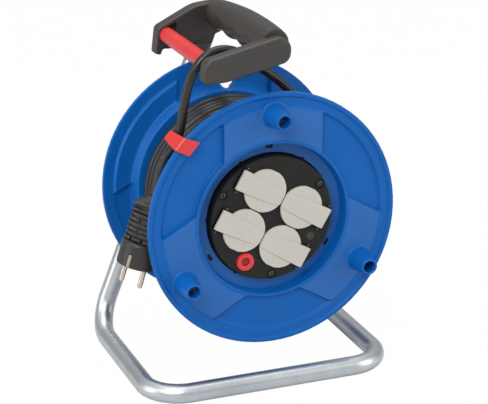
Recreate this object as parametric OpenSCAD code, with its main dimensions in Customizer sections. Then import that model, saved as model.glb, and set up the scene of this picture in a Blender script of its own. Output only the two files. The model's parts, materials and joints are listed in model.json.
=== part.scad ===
// Extension cord reel: a plastic drum with four covered sockets turning on a bent tube stand.
// Millimetres. Origin: centre of the front flange's rim plane, on the drum axis.
// +Y runs back along the drum axis, +Z is up and +X is to the right seen from the front.

/* [Drum] */
// Outer diameter of both flanges
flange_d = 240; // [238:1:244]
// Width of the drum over both rims
drum_w = 141; // [136:1:150]
// Outer diameter of the wound cable
winding_d = 173; // [150:1:176]
// Width of the raised arms on the flanges
arm_w = 96; // [84:1:104]
// Length of the crank bosses in front of the rim plane
boss_len = 24; // [16:1:28]
// Radius of the finger hole through each crank boss
crank_hole_r = 5.4; // [4.5:0.1:6]

/* [Sockets] */
// Distance of each socket centre from the plate's two centre lines
socket_offset = 20.5; // [20.5:0.1:20.8]
// Inner radius of each socket well
well_r = 19.4; // [19.2:0.1:19.5]
// Radius of the pin openings in a well floor
pin_hole_r = 2.7; // [2.5:0.1:3]

/* [Stand] */
// Outer diameter of the stand tube
tube_d = 18; // [17.5:0.1:18.4]
// Wall thickness of the stand tube
tube_wall = 1.5; // [1:0.1:2.5]
// Height of the floor bars' centre line below the drum axis
floor_drop = 148; // [144:1:156]
// Bend radius of the tube's centre line
bend_r = 33; // [28:1:38]

/* [Handle] */
// Thickness of each handle arm
arm_t = 14; // [12:0.5:14]
// Diameter of the red guide roller
roller_d = 15.2; // [13:0.1:16]

/* [Cable] */
// Outer diameter of the cable
cable_d = 8.3; // [7.6:0.1:8.6]

/* [Hidden] */
$fn = 72;

// Small gaps: between parts fastened face to face, and between a shaft and its bearing
joint_gap = 0.05;
run_gap = 0.05;

// Drum
flange_r = flange_d / 2;
boss_angles = [90, -30, 210];
boss_circle_r = 99;
boss_base_r = 10.5;
boss_tip_r = 7.75;
sheet_t = 2.8;
rim_t = 4.8;
gutter_r = flange_r - 4;
panel_r = flange_r - 13;
arm_face = 1.2;
pocket_face = 5;
pocket_back = pocket_face + sheet_t;
cup_r = 72;
cup_wall = 3.5;
cup_floor = 13;
cup_back = 16;
cup_hole_r = 60.6;
rear_cup_r = 92;
rear_floor_front = drum_w - 17;
rear_floor_back = drum_w - 14;
rear_hole_circle_r = 96;
rear_hole_r = 7.8;
hub_r = 16;
hub_front = drum_w - 33;
hub_back = drum_w - 1;
hub_bore_r = 8;
barrel_r = 69;
barrel_wall = 3;
winding_r = winding_d / 2;
latch_r = 66.5;
latch_reach = 1.4;
rear_screw_circle_r = 61.5;
// The rear flange sits slightly round from the front one, and its holes slightly round from its arms
rear_turn = 1.7;
rear_hole_turn = 1.7;

// Socket plate, drawn in its own frame, whose x axis points at the lower right boss
plate_turn = 30;
plate_r = 59;
plate_face = 5;
plate_t = 3;
skirt_back = 17.1;
well_floor = 22.6;
well_back = 25.2;
well_wall = 1.6;
pin_pitch = 19;
screw_circle_r = 54.5;
plate_screw_angles = [60, 180, 300];
lid_r = 20.5;
lid_back = 4.7;
lid_face = 2.2;
bridge_face = 0.7;
hinge_reach = 25.5;
hinge_depth = 3.1;
hinge_half = 9.8;
ear_t = 1.6;
ear_gap = 0.4;
hinge_pin_r = 0.9;
reset_pos = [-3.2, -46.8];
button_r = 4.25;
button_travel = 2.5;
blank_pos = [44, 0];
clip_leg_w = 5;
sleeve_r = 3.4;
contact_bore_r = 2.45;
cover_r = 50.2;
cover_back = 45.5;

// Stand: the brace rises from the right corner through the drum axis to meet the leg
tube_r = tube_d / 2;
leg_y = drum_w + 17;
front_bar_y = -21;
left_x = -123;
right_x = 107;
leg_lean = 21.5;
leg_len = 320;
leg_foot = [left_x, leg_y, -floor_drop];
corner_r = 34;
bend_draw = 0.1;
brace_lean = atan(right_x / floor_drop);
brace_len = (right_x - left_x) * cos(leg_lean) / sin(leg_lean + brace_lean);
swage = 0.8;
swage_len = 24;
axle_r = 5;

// Handle
near_arm = [-3, -3 + arm_t];
far_arm = [drum_w + 24 - arm_t, drum_w + 24];
grip_pos = [2, 159.5];
grip_r = 12;
roller_pos = [-48.5, 141];
roller_r = roller_d / 2;
journal_r = 4;
pocket_depth = 3.5;
collar_r = 11.8;

// Parked lead and plug
cable_r = cable_d / 2;
lead_clip_angle = 138.5;
plug_foot = [-123.1, 30, -37.2];
plug_lean = 17.2;
plug_turn = 45;
plug_r = 18.2;
plug_len = 67;
pin_r = 2.4;
pin_tail_r = 2.1;
pin_len = 19;

// ---------- helpers ----------

function unit(v) = v / norm(v);
function polar(r, a) = [r * cos(a), r * sin(a)];

// Columns of the rigid transform that carries x, y, z to the given axes and the origin to p
function placed(x, y, z, p) = [
  [x[0], y[0], z[0], p[0]],
  [x[1], y[1], z[1], p[1]],
  [x[2], y[2], z[2], p[2]],
  [0, 0, 0, 1]
];

// Any unit vector square to v
function square_to(v) = unit(cross(v, abs(v[1]) > 0.9 ? [1, 0, 0] : [0, 1, 0]));

// A front-view outline, drawn in x and z, given depth from y0 to y1
module slab(y0, y1) translate([0, y1, 0]) rotate([90, 0, 0]) linear_extrude(y1 - y0) children();

// A profile of [radius, y] points turned about the drum axis
module turned() rotate([-90, 0, 0]) rotate_extrude() children();

// A round bar along y at front-view position at
module rod(r, y0, y1, at = [0, 0])
  translate([at[0], y0, at[1]]) rotate([-90, 0, 0]) cylinder(r = r, h = y1 - y0);

// A straight bar of radius r from a to b
module bar(a, b, r) {
  d = unit(b - a);
  s = square_to(d);
  multmatrix(placed(s, cross(d, s), d, a)) cylinder(r = r, h = norm(b - a));
}

// A straight length of the stand tube along z
module pipe(from, to, r = tube_r) translate([0, 0, from])
  rotate_extrude() translate([r - tube_wall, 0]) square([tube_wall, to - from]);

// A quarter bend whose two ends head off along x and y from the corner at the origin.
// Bending draws the tube down a little, so its radius steps by bend_draw where it meets a straight length.
module elbow(bend) translate([bend, bend, 0]) rotate([0, 0, 180])
  rotate_extrude(angle = 90) translate([bend, 0]) difference() {
    circle(r = tube_r - bend_draw);
    circle(r = tube_r - tube_wall - bend_draw);
  }

// Catmull-Rom curve through points, steps to each span
function spline_point(p, i, t) =
  let (a = p[max(i - 1, 0)], b = p[i], c = p[i + 1], d = p[min(i + 2, len(p) - 1)])
  0.5 * (2 * b + (c - a) * t + (2 * a - 5 * b + 4 * c - d) * t * t + (3 * b - a - 3 * c + d) * t * t * t);
function spline(p, steps) = [
  for (i = [0:len(p) - 2]) for (k = [0:steps - 1]) spline_point(p, i, k / steps), p[len(p) - 1]
];
function tangent(c, i) = unit(c[min(i + 1, len(c) - 1)] - c[max(i - 1, 0)]);
// Side vectors carried along the curve without twist
function carried(c, i, side, out) = i >= len(c) ? out
  : let (t = tangent(c, i), s = unit(side - t * (side * t))) carried(c, i + 1, s, concat(out, [s]));

// A soft round cord of radius r along a curve of points
module cord(curve, r, sides = 18) {
  n = len(curve);
  across = carried(curve, 0, square_to(tangent(curve, 0)), []);
  skin = [for (i = [0:n - 1]) for (k = [0:sides - 1])
    curve[i] + r * (across[i] * cos(360 * k / sides)
      + cross(tangent(curve, i), across[i]) * sin(360 * k / sides))];
  sides_faces = [for (i = [0:n - 2]) for (k = [0:sides - 1]) let (m = (k + 1) % sides)
    [i * sides + k, (i + 1) * sides + k, (i + 1) * sides + m, i * sides + m]];
  ends = [[for (k = [0:sides - 1]) k], [for (k = [sides - 1:-1:0]) (n - 1) * sides + k]];
  polyhedron(skin, concat(sides_faces, ends));
}

// A pan-head screw along y: head from head_y backwards to tip_y (either way round)
module screw(at, head_y, head_t, head_r, tip_y, shank_r) {
  way = tip_y > head_y ? 1 : -1;
  difference() {
    union() {
      rod(head_r, min(head_y, head_y + way * head_t), max(head_y, head_y + way * head_t), at);
      rod(shank_r, min(head_y, tip_y), max(head_y, tip_y), at);
    }
    for (a = [0, 90])
      translate([at[0], head_y, at[1]]) rotate([0, a, 0])
        cube([head_r * 1.2, head_t, head_r * 0.28], center = true);
  }
}

// ---------- stand ----------

// Unit vector rising from a rear corner at an angle off the vertical, in the plane of the leg
function rising(lean) = [sin(lean), 0, cos(lean)];
function on_leg(d) = leg_foot + rising(leg_lean) * d;

// A rear corner, in whose frame z rises along the tube and -y runs forward along the floor
module rear_corner(x, lean) translate([x, leg_y, -floor_drop]) rotate([0, lean, 0]) children();
module rear_elbow() rotate([0, 0, -90]) rotate([90, 0, 0]) elbow(bend_r);

// One tube bent round the floor; its swaged end is welded into the side of the long leg
module stand_tube() color([0.72, 0.74, 0.76]) difference() {
  union() {
    translate([left_x, front_bar_y, -floor_drop]) elbow(corner_r);
    translate([right_x, front_bar_y, -floor_drop]) mirror([1, 0, 0]) elbow(corner_r);
    translate([0, front_bar_y, -floor_drop]) rotate([0, 90, 0]) pipe(left_x + corner_r, right_x - corner_r);
    for (x = [left_x, right_x])
      translate([x, 0, -floor_drop]) rotate([-90, 0, 0]) pipe(front_bar_y + corner_r, leg_y - bend_r);
    rear_corner(left_x, leg_lean) {
      rear_elbow();
      pipe(bend_r, leg_len);
    }
    rear_corner(right_x, -brace_lean) {
      rear_elbow();
      pipe(bend_r, brace_len - swage_len);
    }
    difference() {
      rear_corner(right_x, -brace_lean) pipe(brace_len - swage_len - 3, brace_len, tube_r - swage);
      bar(on_leg(0), on_leg(leg_len), tube_r - tube_wall / 2);
    }
  }
  rod(axle_r + 2 * run_gap, leg_y - 15, leg_y + 15);
  rod(2, leg_y, leg_y + 15, screw_spot());
}

// ---------- handle ----------

// Front-view position of the screw that pins the collar to the tube
function screw_spot() = let (p = on_leg(leg_len - 23)) [p[0], p[2]];

module arm_outline() hull() {
  translate([-57.5, 146.5]) circle(r = 7.5, $fn = 40);
  translate([-59.5, 139]) circle(r = 5.5, $fn = 40);
  translate(grip_pos) circle(r = grip_r, $fn = 48);
  translate([3.5, 150.5]) circle(r = 5.5, $fn = 40);
}

module hook_outline() hull() {
  translate([-61, 140]) circle(r = 3.5, $fn = 32);
  translate([-60.5, 128]) circle(r = 2.2, $fn = 32);
}

// Underside swellings between the fingers
module finger_swells() {
  count = 4;
  span = far_arm[0] - near_arm[1];
  for (i = [0:count - 1])
    translate([grip_pos[0] - 3, near_arm[1] + span * (i + 0.5) / count, grip_pos[1] - 5])
      sphere(r = 10.6, $fn = 40);
}

module far_collar() bar(on_leg(leg_len - 34), on_leg(leg_len + 3), collar_r);

module roller_pocket() hull() {
  translate(roller_pos) circle(r = roller_r + 1.4, $fn = 48);
  translate([-37.5, 151]) circle(r = 0.8, $fn = 24);
}

module handle_frame() color([0.1, 0.1, 0.1]) difference() {
  union() {
    slab(near_arm[0], near_arm[1]) arm_outline();
    slab(far_arm[0], far_arm[1]) arm_outline();
    slab(far_arm[0], far_arm[1]) hook_outline();
    rod(grip_r - 0.6, near_arm[1] - 1, far_arm[0] + 1, grip_pos);
    finger_swells();
    far_collar();
  }
  bar(on_leg(leg_len - 40), on_leg(leg_len + 0.2), tube_r + joint_gap);
  rod(journal_r + run_gap, near_arm[0] + 5, near_arm[1] + 1, roller_pos);
  rod(journal_r + run_gap, far_arm[0] - 1, far_arm[1] - 3, roller_pos);
  slab(near_arm[1] - pocket_depth, near_arm[1] + 0.1) translate(roller_pos) circle(r = roller_r + 0.8);
  slab(far_arm[0] - 0.1, far_arm[0] + pocket_depth + 1.5) roller_pocket();
  rod(2, leg_y, leg_y + 15, screw_spot());
}

module handle_screw() color([0.75, 0.75, 0.77])
  screw(screw_spot(), leg_y + collar_r + 2, 2, 3.6, leg_y + 4, 1.9);

module guide_roller() color([0.85, 0.1, 0.1]) {
  body = [near_arm[1] - pocket_depth + 0.4, far_arm[0] + pocket_depth + 1.1];
  rod(roller_r, body[0], body[1], roller_pos);
  rod(journal_r, near_arm[0] + 5.3, body[0] + 1, roller_pos);
  rod(journal_r, body[1] - 1, far_arm[1] - 3.3, roller_pos);
}

// ---------- axle ----------

bush_flange_t = 2;
spacer_front = hub_back + bush_flange_t + 0.3;
washer_front = hub_front - bush_flange_t - 1.8;

module axle_bolt() color([0.7, 0.7, 0.72]) {
  rod(axle_r, washer_front - 12, leg_y + 15.5);
  translate([0, leg_y + 13.1, 0]) rotate([-90, 0, 0]) cylinder(r = 9.2, h = 6.4, $fn = 6);
}

module saddle_spacers() color([0.12, 0.12, 0.12]) {
  difference() {
    union() {
      rod(13, spacer_front, leg_y - 2.5);
      rod(13, leg_y + 2.5, leg_y + 13);
    }
    translate([0, leg_y, 0]) bar(rising(-brace_lean) * -30, rising(-brace_lean) * 30, tube_r + joint_gap);
    rod(axle_r + 2 * run_gap, spacer_front - 1, leg_y + 14);
  }
}

module axle_washer() color([0.75, 0.75, 0.77]) difference() {
  rod(11, washer_front, washer_front + 1.6);
  rod(axle_r + 2 * run_gap, washer_front - 1, washer_front + 3);
}

module axle_nut() color([0.75, 0.75, 0.77]) difference() {
  translate([0, washer_front - 9.1, 0]) rotate([-90, 0, 0]) cylinder(r = 9.2, h = 9, $fn = 6);
  rod(axle_r + run_gap, washer_front - 10, washer_front);
}

module hub_bushes() color([0.9, 0.88, 0.8]) {
  for (y = [[hub_back + joint_gap, -1], [hub_front - joint_gap, 1]]) {
    y_in = y[0] + y[1] * 14;
    y_out = y[0] - y[1] * bush_flange_t;
    difference() {
      union() {
        rod(hub_bore_r - 0.02, min(y[0], y_in), max(y[0], y_in));
        rod(12, min(y[0], y_out), max(y[0], y_out));
      }
      rod(axle_r + run_gap, min(y_in, y_out) - 1, max(y_in, y_out) + 1);
    }
  }
}

// ---------- drum ----------

module arms_outline(r_in, w) intersection() {
  difference() {
    circle(r = panel_r + 0.5);
    circle(r = r_in);
  }
  for (a = boss_angles) rotate(a) translate([0, -w / 2]) square([panel_r + 1, w]);
}

// Raised arms, sunk pockets and the step between them, as one sheet; face(y) places a depth
module panel(r_in, y_arm, y_pocket) {
  lo = min(y_arm, y_pocket);
  hi = max(y_arm, y_pocket) + sheet_t;
  slab(y_arm, y_arm + sheet_t) arms_outline(r_in, arm_w);
  slab(y_pocket, y_pocket + sheet_t) difference() {
    circle(r = panel_r + 0.5);
    circle(r = r_in);
    arms_outline(r_in - 1, arm_w - sheet_t);
  }
  slab(lo, hi) difference() {
    arms_outline(r_in, arm_w);
    arms_outline(r_in - 1, arm_w - 2 * sheet_t);
  }
}

module front_flange() color([0.08, 0.3, 0.65]) difference() {
  union() {
    turned() polygon([
      [panel_r, arm_face], [panel_r + 2, arm_face], [panel_r + 3, 2.2], [gutter_r - 1, 2.2],
      [gutter_r, 0], [flange_r, 0], [flange_r, rim_t], [panel_r + 3, rim_t],
      [panel_r + 3, pocket_back], [panel_r, pocket_back]
    ]);
    turned() polygon([
      [cup_r, arm_face - 0.2], [cup_r + cup_wall, arm_face], [cup_r + cup_wall, pocket_back],
      [cup_r + 2.3, cup_back], [cup_hole_r, cup_back], [cup_hole_r, cup_floor], [cup_r - 1, cup_floor]
    ]);
    panel(cup_r + cup_wall - 0.5, arm_face, pocket_face);
    for (a = boss_angles) {
      at = polar(boss_circle_r, a);
      translate([at[0], pocket_face - 1, at[1]]) rotate([90, 0, 0])
        cylinder(r1 = boss_base_r, r2 = boss_tip_r, h = boss_len + pocket_face - 1);
    }
  }
  for (a = boss_angles) {
    rod(crank_hole_r, -boss_len - 1, pocket_back + 1, polar(boss_circle_r, a));
    slab(cup_floor - 1, cup_back + 1) rotate(a) translate([latch_r, 0]) square([3.4, 7], center = true);
  }
  for (a = [57:60:357]) rod(1.6, cup_floor - 1, cup_back + 1, polar(cup_hole_r, a));
}

module rear_flange() color([0.08, 0.3, 0.65]) rotate([0, rear_turn, 0]) difference() {
  union() {
    translate([0, drum_w, 0]) mirror([0, 1, 0]) turned() polygon([
      [panel_r, arm_face], [panel_r + 2, arm_face], [panel_r + 3, 2.2], [gutter_r - 1, 2.2],
      [gutter_r, 0], [flange_r, 0], [flange_r, rim_t], [panel_r + 3, rim_t],
      [panel_r + 3, pocket_back], [panel_r, pocket_back]
    ]);
    turned() polygon([
      [rear_cup_r - 2.5, drum_w - arm_face], [rear_cup_r + 2, drum_w - arm_face],
      [rear_cup_r + 2, drum_w - pocket_back], [rear_cup_r + 0.5, drum_w - pocket_back],
      [rear_cup_r - 3, rear_floor_front], [hub_r - 1, rear_floor_front], [hub_r - 1, rear_floor_back],
      [rear_cup_r - 6, rear_floor_back]
    ]);
    panel(rear_cup_r + 1.5, drum_w - arm_face - sheet_t, drum_w - pocket_back);
    rod(hub_r, hub_front, hub_back);
    for (a = [0:60:300])
      rotate([0, a, 0]) translate([hub_r - 1, rear_floor_back - 0.5, -1])
        cube([rear_cup_r - 6 - hub_r, 7, 2]);
  }
  rod(hub_bore_r, hub_front - 1, hub_back + 1);
  for (a = boss_angles) {
    rod(rear_hole_r, drum_w - 16, drum_w + 1, polar(rear_hole_circle_r, a - rear_hole_turn));
    rod(2.1, rear_floor_front - 1, rear_floor_back + 1, polar(rear_screw_circle_r, a + 20 + rear_turn));
  }
}

// Where the cable comes through the barrel wall, in the plate's frame
tail_offset = -10;
tail_y = 72;

module drum_barrel() color([0.1, 0.1, 0.1]) difference() {
  union() {
    turned() polygon([
      [barrel_r - barrel_wall, cup_back + joint_gap], [barrel_r, cup_back + joint_gap],
      [barrel_r, rear_floor_front - joint_gap], [barrel_r - barrel_wall, rear_floor_front - joint_gap]
    ]);
    turned() polygon([
      [cover_r + 0.4, skirt_back + 0.1], [barrel_r - 1, skirt_back + 0.1],
      [barrel_r - 1, skirt_back + 2.4], [cover_r + 0.4, skirt_back + 2.4]
    ]);
    for (a = boss_angles) {
      slab(cup_back - latch_reach, cup_back + 2) rotate(a) translate([latch_r, 0]) square([2.6, 6], center = true);
      rod(4.6, rear_floor_front - 24, rear_floor_front - joint_gap, polar(rear_screw_circle_r, a + 20));
    }
    for (a = plate_screw_angles)
      rod(3.7, skirt_back + 0.1, skirt_back + 18, polar(screw_circle_r, a - plate_turn));
  }
  for (a = boss_angles)
    rod(1.95, rear_floor_front - 20, rear_floor_front + 1, polar(rear_screw_circle_r, a + 20));
  for (a = plate_screw_angles)
    rod(1.65, skirt_back - 1, skirt_back + 15, polar(screw_circle_r, a - plate_turn));
  plate_frame() {
    rod(8, skirt_back - 1, skirt_back + 4, reset_pos);
    translate([barrel_r - 8, tail_y, tail_offset]) rotate([0, 90, 0]) cylinder(r = cable_r + 0.6, h = 16);
  }
}

module flange_screws() color([0.75, 0.75, 0.77]) for (a = boss_angles)
  screw(polar(rear_screw_circle_r, a + 20), rear_floor_back + 2.4, 2.35, 3.8, rear_floor_back - 20, 1.9);

// ---------- socket plate ----------

module plate_frame() rotate([0, plate_turn, 0]) children();

// Children are drawn once per socket, centred on it, with +x towards its own hinge
module at_each_socket() for (side = [-1, 1]) for (row = [-1, 1])
  translate([side * socket_offset, 0, row * socket_offset]) mirror([side < 0 ? 1 : 0, 0, 0]) children();

module hinge_ears() for (s = [-1, 1])
  translate([hinge_reach, 0, s * (hinge_half + ear_gap + ear_t / 2)]) {
    translate([0, hinge_depth, 0]) cylinder(r = 2, h = ear_t, center = true);
    translate([-2, hinge_depth, -ear_t / 2]) cube([4, plate_face - hinge_depth + 0.5, ear_t]);
  }

module socket_plate() color([0.13, 0.13, 0.13]) plate_frame() difference() {
  union() {
    rod(plate_r, plate_face, plate_face + plate_t);
    difference() {
      rod(plate_r, plate_face, skirt_back);
      rod(plate_r - 2, plate_face, skirt_back + 1);
    }
    at_each_socket() {
      rod(well_r + well_wall, plate_face + 1, well_back);
      hinge_ears();
    }
    intersection() {
      rod(plate_r, plate_face, skirt_back);
      at_each_socket() translate([hinge_reach - 3.4, plate_face + 1, -hinge_half - 2])
        cube([9, 4.5, 2 * hinge_half + 4]);
    }
    for (a = plate_screw_angles) rod(4, plate_face + 1, skirt_back, polar(screw_circle_r, a));
    rod(5, plate_face + 1, well_back);
  }
  at_each_socket() {
    rod(well_r, plate_face - 1, well_floor);
    for (s = [-1, 1]) {
      rod(pin_hole_r, well_floor - 1, well_back + 1, [s * pin_pitch / 2, 0]);
      translate([-clip_leg_w / 2 - 0.3, well_floor - 1, s * 18.6 - 0.7]) cube([clip_leg_w + 0.6, 5, 1.4]);
      translate([hinge_reach, hinge_depth, s * (hinge_half + 2)])
        cylinder(r = hinge_pin_r + 0.02, h = 6, center = true);
    }
    translate([hinge_reach - 2.4, plate_face - 1, -hinge_half - 0.3]) cube([6.6, 4.4, 2 * hinge_half + 0.6]);
  }
  for (a = plate_screw_angles) {
    rod(1.8, plate_face - 1, skirt_back + 1, polar(screw_circle_r, a));
    rod(3.5, plate_face - 1, plate_face + 2, polar(screw_circle_r, a));
  }
  rod(1.9, well_back - 14, well_back + 1);
  rod(6.1, plate_face - 1, plate_face + plate_t + 1, reset_pos);
  rod(4.05, plate_face - 1, plate_face + plate_t + 1, blank_pos);
}

module plate_screws() color([0.08, 0.08, 0.08]) plate_frame() for (a = plate_screw_angles)
  screw(polar(screw_circle_r, a), plate_face - 0.1, 2, 3.4, skirt_back + 13, 1.6);

module blank_plug() color([0.3, 0.3, 0.3]) plate_frame() {
  rod(4, plate_face - 0.4, plate_face + plate_t + 1, blank_pos);
  rod(4.8, plate_face + plate_t + joint_gap, plate_face + plate_t + 1.5, blank_pos);
}

// A flap with a tapered bridge running to its hinge at +x, drawn about its socket centre
module lid_shape() difference() {
  union() {
    slab(lid_face, lid_back) intersection() {
      circle(r = lid_r);
      square(2 * (socket_offset - 0.3), center = true);
    }
    slab(bridge_face, lid_back - 0.2) polygon([
      [hinge_reach + 3.2, 1 - hinge_half], [hinge_reach + 3.2, hinge_half - 1],
      [hinge_reach + 2.2, hinge_half], [hinge_reach - 3, hinge_half],
      [-13, 7.4], [-17, 5.5], [-17, -5.5], [-13, -7.4],
      [hinge_reach - 3, -hinge_half], [hinge_reach + 2.2, -hinge_half]
    ]);
    difference() {
      rod(well_r - 0.5, lid_back - 0.1, lid_back + 1.6);
      rod(well_r - 2, lid_back - 1, lid_back + 2);
    }
  }
  translate([hinge_reach, hinge_depth, 0]) cylinder(r = hinge_pin_r + run_gap, h = 40, center = true);
  translate([hinge_reach, hinge_depth, 0]) cylinder(r = 1.95, h = 9, center = true);
  translate([hinge_reach - 1.95, hinge_depth, -4.5]) cube([3.9, 3, 9]);
  translate([hinge_reach + 1.6, lid_back - 1.1, -hinge_half - 1]) cube([4, 3, 2 * hinge_half + 2]);
}

module lid(side, row) color([0.78, 0.77, 0.73]) plate_frame()
  translate([side * socket_offset, 0, row * socket_offset]) mirror([side < 0 ? 1 : 0, 0, 0]) lid_shape();
module lid_a() lid(-1, 1);
module lid_b() lid(1, 1);
module lid_c() lid(-1, -1);
module lid_d() lid(1, -1);

module hinge_pins() color([0.75, 0.6, 0.3]) plate_frame() at_each_socket()
  translate([hinge_reach, hinge_depth, 0])
    cylinder(r = hinge_pin_r, h = 2 * (hinge_half + ear_gap + ear_t) + 1, center = true, $fn = 24);

module lid_springs() color([0.75, 0.6, 0.3]) plate_frame() at_each_socket() {
  turns = 5;
  steps = 12;
  pitch = 1.5;
  translate([hinge_reach, hinge_depth, 0])
    cord([for (k = [0:turns * steps]) let (a = 360 * k / steps)
      [1.42 * cos(a), 1.42 * sin(a), pitch * (k / steps - turns / 2)]], 0.25, 6);
}

module reset_bezel() color([0.85, 0.1, 0.1]) plate_frame() difference() {
  union() {
    translate([reset_pos[0], plate_face - joint_gap, reset_pos[1]]) rotate([90, 0, 0])
      cylinder(r1 = 8.75, r2 = 8.1, h = 1.9);
    rod(6, plate_face - 1, plate_face + plate_t + 4, reset_pos);
  }
  rod(button_r + run_gap, plate_face - 3, plate_face + 10, reset_pos);
}

module reset_button() color([0.7, 0.15, 0.15]) plate_frame() {
  rod(button_r, plate_face - 0.8, plate_face + 9, reset_pos);
  rod(5.6, plate_face + 8, plate_face + 9.5, reset_pos);
}

module thermal_cutout() color([0.08, 0.08, 0.08]) plate_frame() difference() {
  rod(7, plate_face + plate_t + joint_gap, plate_face + 35, reset_pos);
  rod(6.1, plate_face, plate_face + 9.5 + button_travel + 1, reset_pos);
}

module earth_strips() color([0.8, 0.65, 0.35]) plate_frame() for (side = [-1, 1])
  translate([side * socket_offset, 0, 0]) {
    reach = socket_offset + 19;
    translate([-clip_leg_w / 2, well_back + 0.2, -reach]) cube([clip_leg_w, 0.8, 2 * reach]);
    for (row = [-1, 1]) for (s = [-1, 1])
      translate([-clip_leg_w / 2, well_floor - 12.5, row * socket_offset + s * 18.6 - 0.4])
        cube([clip_leg_w, well_back + 0.8 - (well_floor - 12.5), 0.8]);
  }

// Pin sleeves at x = columns joined by a bar, bar_y deep
module contacts(columns, bar_y) difference() {
  union() {
    for (x = columns) {
      for (row = [-1, 1]) rod(sleeve_r, well_back + 0.1, bar_y + 0.5, [x, row * socket_offset]);
      translate([x - 3, bar_y, -socket_offset]) cube([6, 1, 2 * socket_offset]);
    }
    translate([columns[0], bar_y, 7]) cube([columns[1] - columns[0], 1, 5]);
  }
  for (x = columns) for (row = [-1, 1])
    rod(contact_bore_r, well_back - 1, bar_y + 2, [x, row * socket_offset]);
}
module line_contacts() color([0.8, 0.65, 0.35]) plate_frame()
  contacts([-socket_offset - pin_pitch / 2, socket_offset - pin_pitch / 2], well_back + 11);
module neutral_contacts() color([0.8, 0.65, 0.35]) plate_frame()
  contacts([-socket_offset + pin_pitch / 2, socket_offset + pin_pitch / 2], well_back + 13.5);

// Cord grip position on the back of the contact cover
grip_x = 32;
grip_screws_z = [tail_offset - 9, tail_offset + 9];

module contact_cover() color([0.1, 0.1, 0.1]) plate_frame() difference() {
  union() {
    difference() {
      rod(cover_r, well_back + 0.1, cover_back);
      rod(cover_r - 1.5, well_back, cover_back - 2);
    }
    rod(4, well_back + 0.1, cover_back);
    for (z = grip_screws_z) rod(3, cover_back - 1, cover_back + 8.8, [grip_x, z]);
  }
  rod(2.1, well_back, cover_back + 1);
  rod(7.4, well_back, cover_back + 1, reset_pos);
  rod(9, cover_back - 4, cover_back + 1, [13, tail_offset]);
  for (z = grip_screws_z) rod(1.65, cover_back + 1, cover_back + 10, [grip_x, z]);
}

module cover_screw() color([0.75, 0.75, 0.77])
  screw([0, 0], cover_back + 2.4, 2.35, 3.8, well_back - 12, 1.85);

module cord_grip() color([0.85, 0.83, 0.75]) plate_frame() difference() {
  translate([grip_x - 3.5, cover_back + 8.9, tail_offset - 12.5]) cube([7, 3, 25]);
  for (z = grip_screws_z) rod(1.8, cover_back, cover_back + 20, [grip_x, z]);
}

module cord_grip_screws() color([0.75, 0.75, 0.77]) plate_frame() for (z = grip_screws_z)
  screw([grip_x, z], cover_back + 14.1, 2.1, 3, cover_back + 2, 1.6);

module cable_tail() color([0.09, 0.09, 0.09]) plate_frame() {
  y0 = cover_back + 4.5;
  cord(spline([
    [barrel_r - 1.4, tail_y, tail_offset], [barrel_r - 10, tail_y, tail_offset],
    [51, 64, tail_offset], [45, y0 + 4, tail_offset], [37, y0, tail_offset],
    [24, y0, tail_offset], [15, y0 - 2.5, tail_offset], [11.5, cover_back - 3, tail_offset]
  ], 5), cable_r, 16);
}

// ---------- cable ----------

module cable_winding() color([0.09, 0.09, 0.09]) turned() polygon([
  [barrel_r + 0.5, cup_back + 0.5], [cup_r + cup_wall + 0.6, cup_back + 0.5],
  [cup_r + cup_wall + 0.6, pocket_back + 1], [winding_r, pocket_back + 1],
  [winding_r, rear_floor_front - 0.5], [barrel_r + 0.5, rear_floor_front - 0.5]
]);

function plug_axis() = [sin(plug_lean), 0, cos(plug_lean)];
function clip_point(r, y) = [r * cos(lead_clip_angle), y, r * sin(lead_clip_angle)];

module cable_lead() color([0.09, 0.09, 0.09]) cord(spline([
  [68.8, 34, 60.3], [54, 34, 78.5], [38.5, 33, 98], [25.5, 31, 112.5], [14, 29, 123.5], [-2, 26.5, 136],
  [-18, 24, 148.5], [-33, 22.5, 156.5], [-47, 22, 157.5], [-58.8, 22, 152], [-67.6, 22.5, 141],
  [-73.2, 23.5, 126], [-77, 24.5, 108], [-79.6, 25.5, 90.6],
  clip_point(112.5, 26), [-92.5, 27.5, 63], [-97.5, 29, 50],
  plug_foot + plug_axis() * (plug_len + 11), plug_foot + plug_axis() * plug_len,
  plug_foot + plug_axis() * (plug_len - 9)
], 5), cable_r);

// Band folded over the front rim and back around the lead
module cable_clip() color([0.85, 0.1, 0.1]) rotate([0, -lead_clip_angle, 0]) {
  half_w = 8.2;
  out = flange_r + 1.2;
  band = 2;
  back = 33;
  translate([flange_r - 10.2, -0.4 - band, -half_w]) cube([11.4 + band, band, 2 * half_w]);
  translate([out, -0.4 - band, -half_w]) cube([band, back + 0.4 + band, 2 * half_w]);
  translate([flange_r - 11, back - band, -half_w]) cube([12.2 + band, band, 2 * half_w]);
}

// ---------- plug ----------

// Plug frame: z along the plug towards the cable, origin at the pin face
module plug_frame() translate(plug_foot) rotate([0, plug_lean, 0]) rotate([0, 0, -plug_turn]) children();

// A flat-sided slice of the grip, wide across the pins
module grip_slice(r, half_depth, z0, z1) intersection() {
  translate([0, 0, z0]) cylinder(r = r, h = z1 - z0);
  translate([-r - 1, -half_depth, z0 - 1]) cube([2 * r + 2, 2 * half_depth, z1 - z0 + 2]);
}

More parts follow.
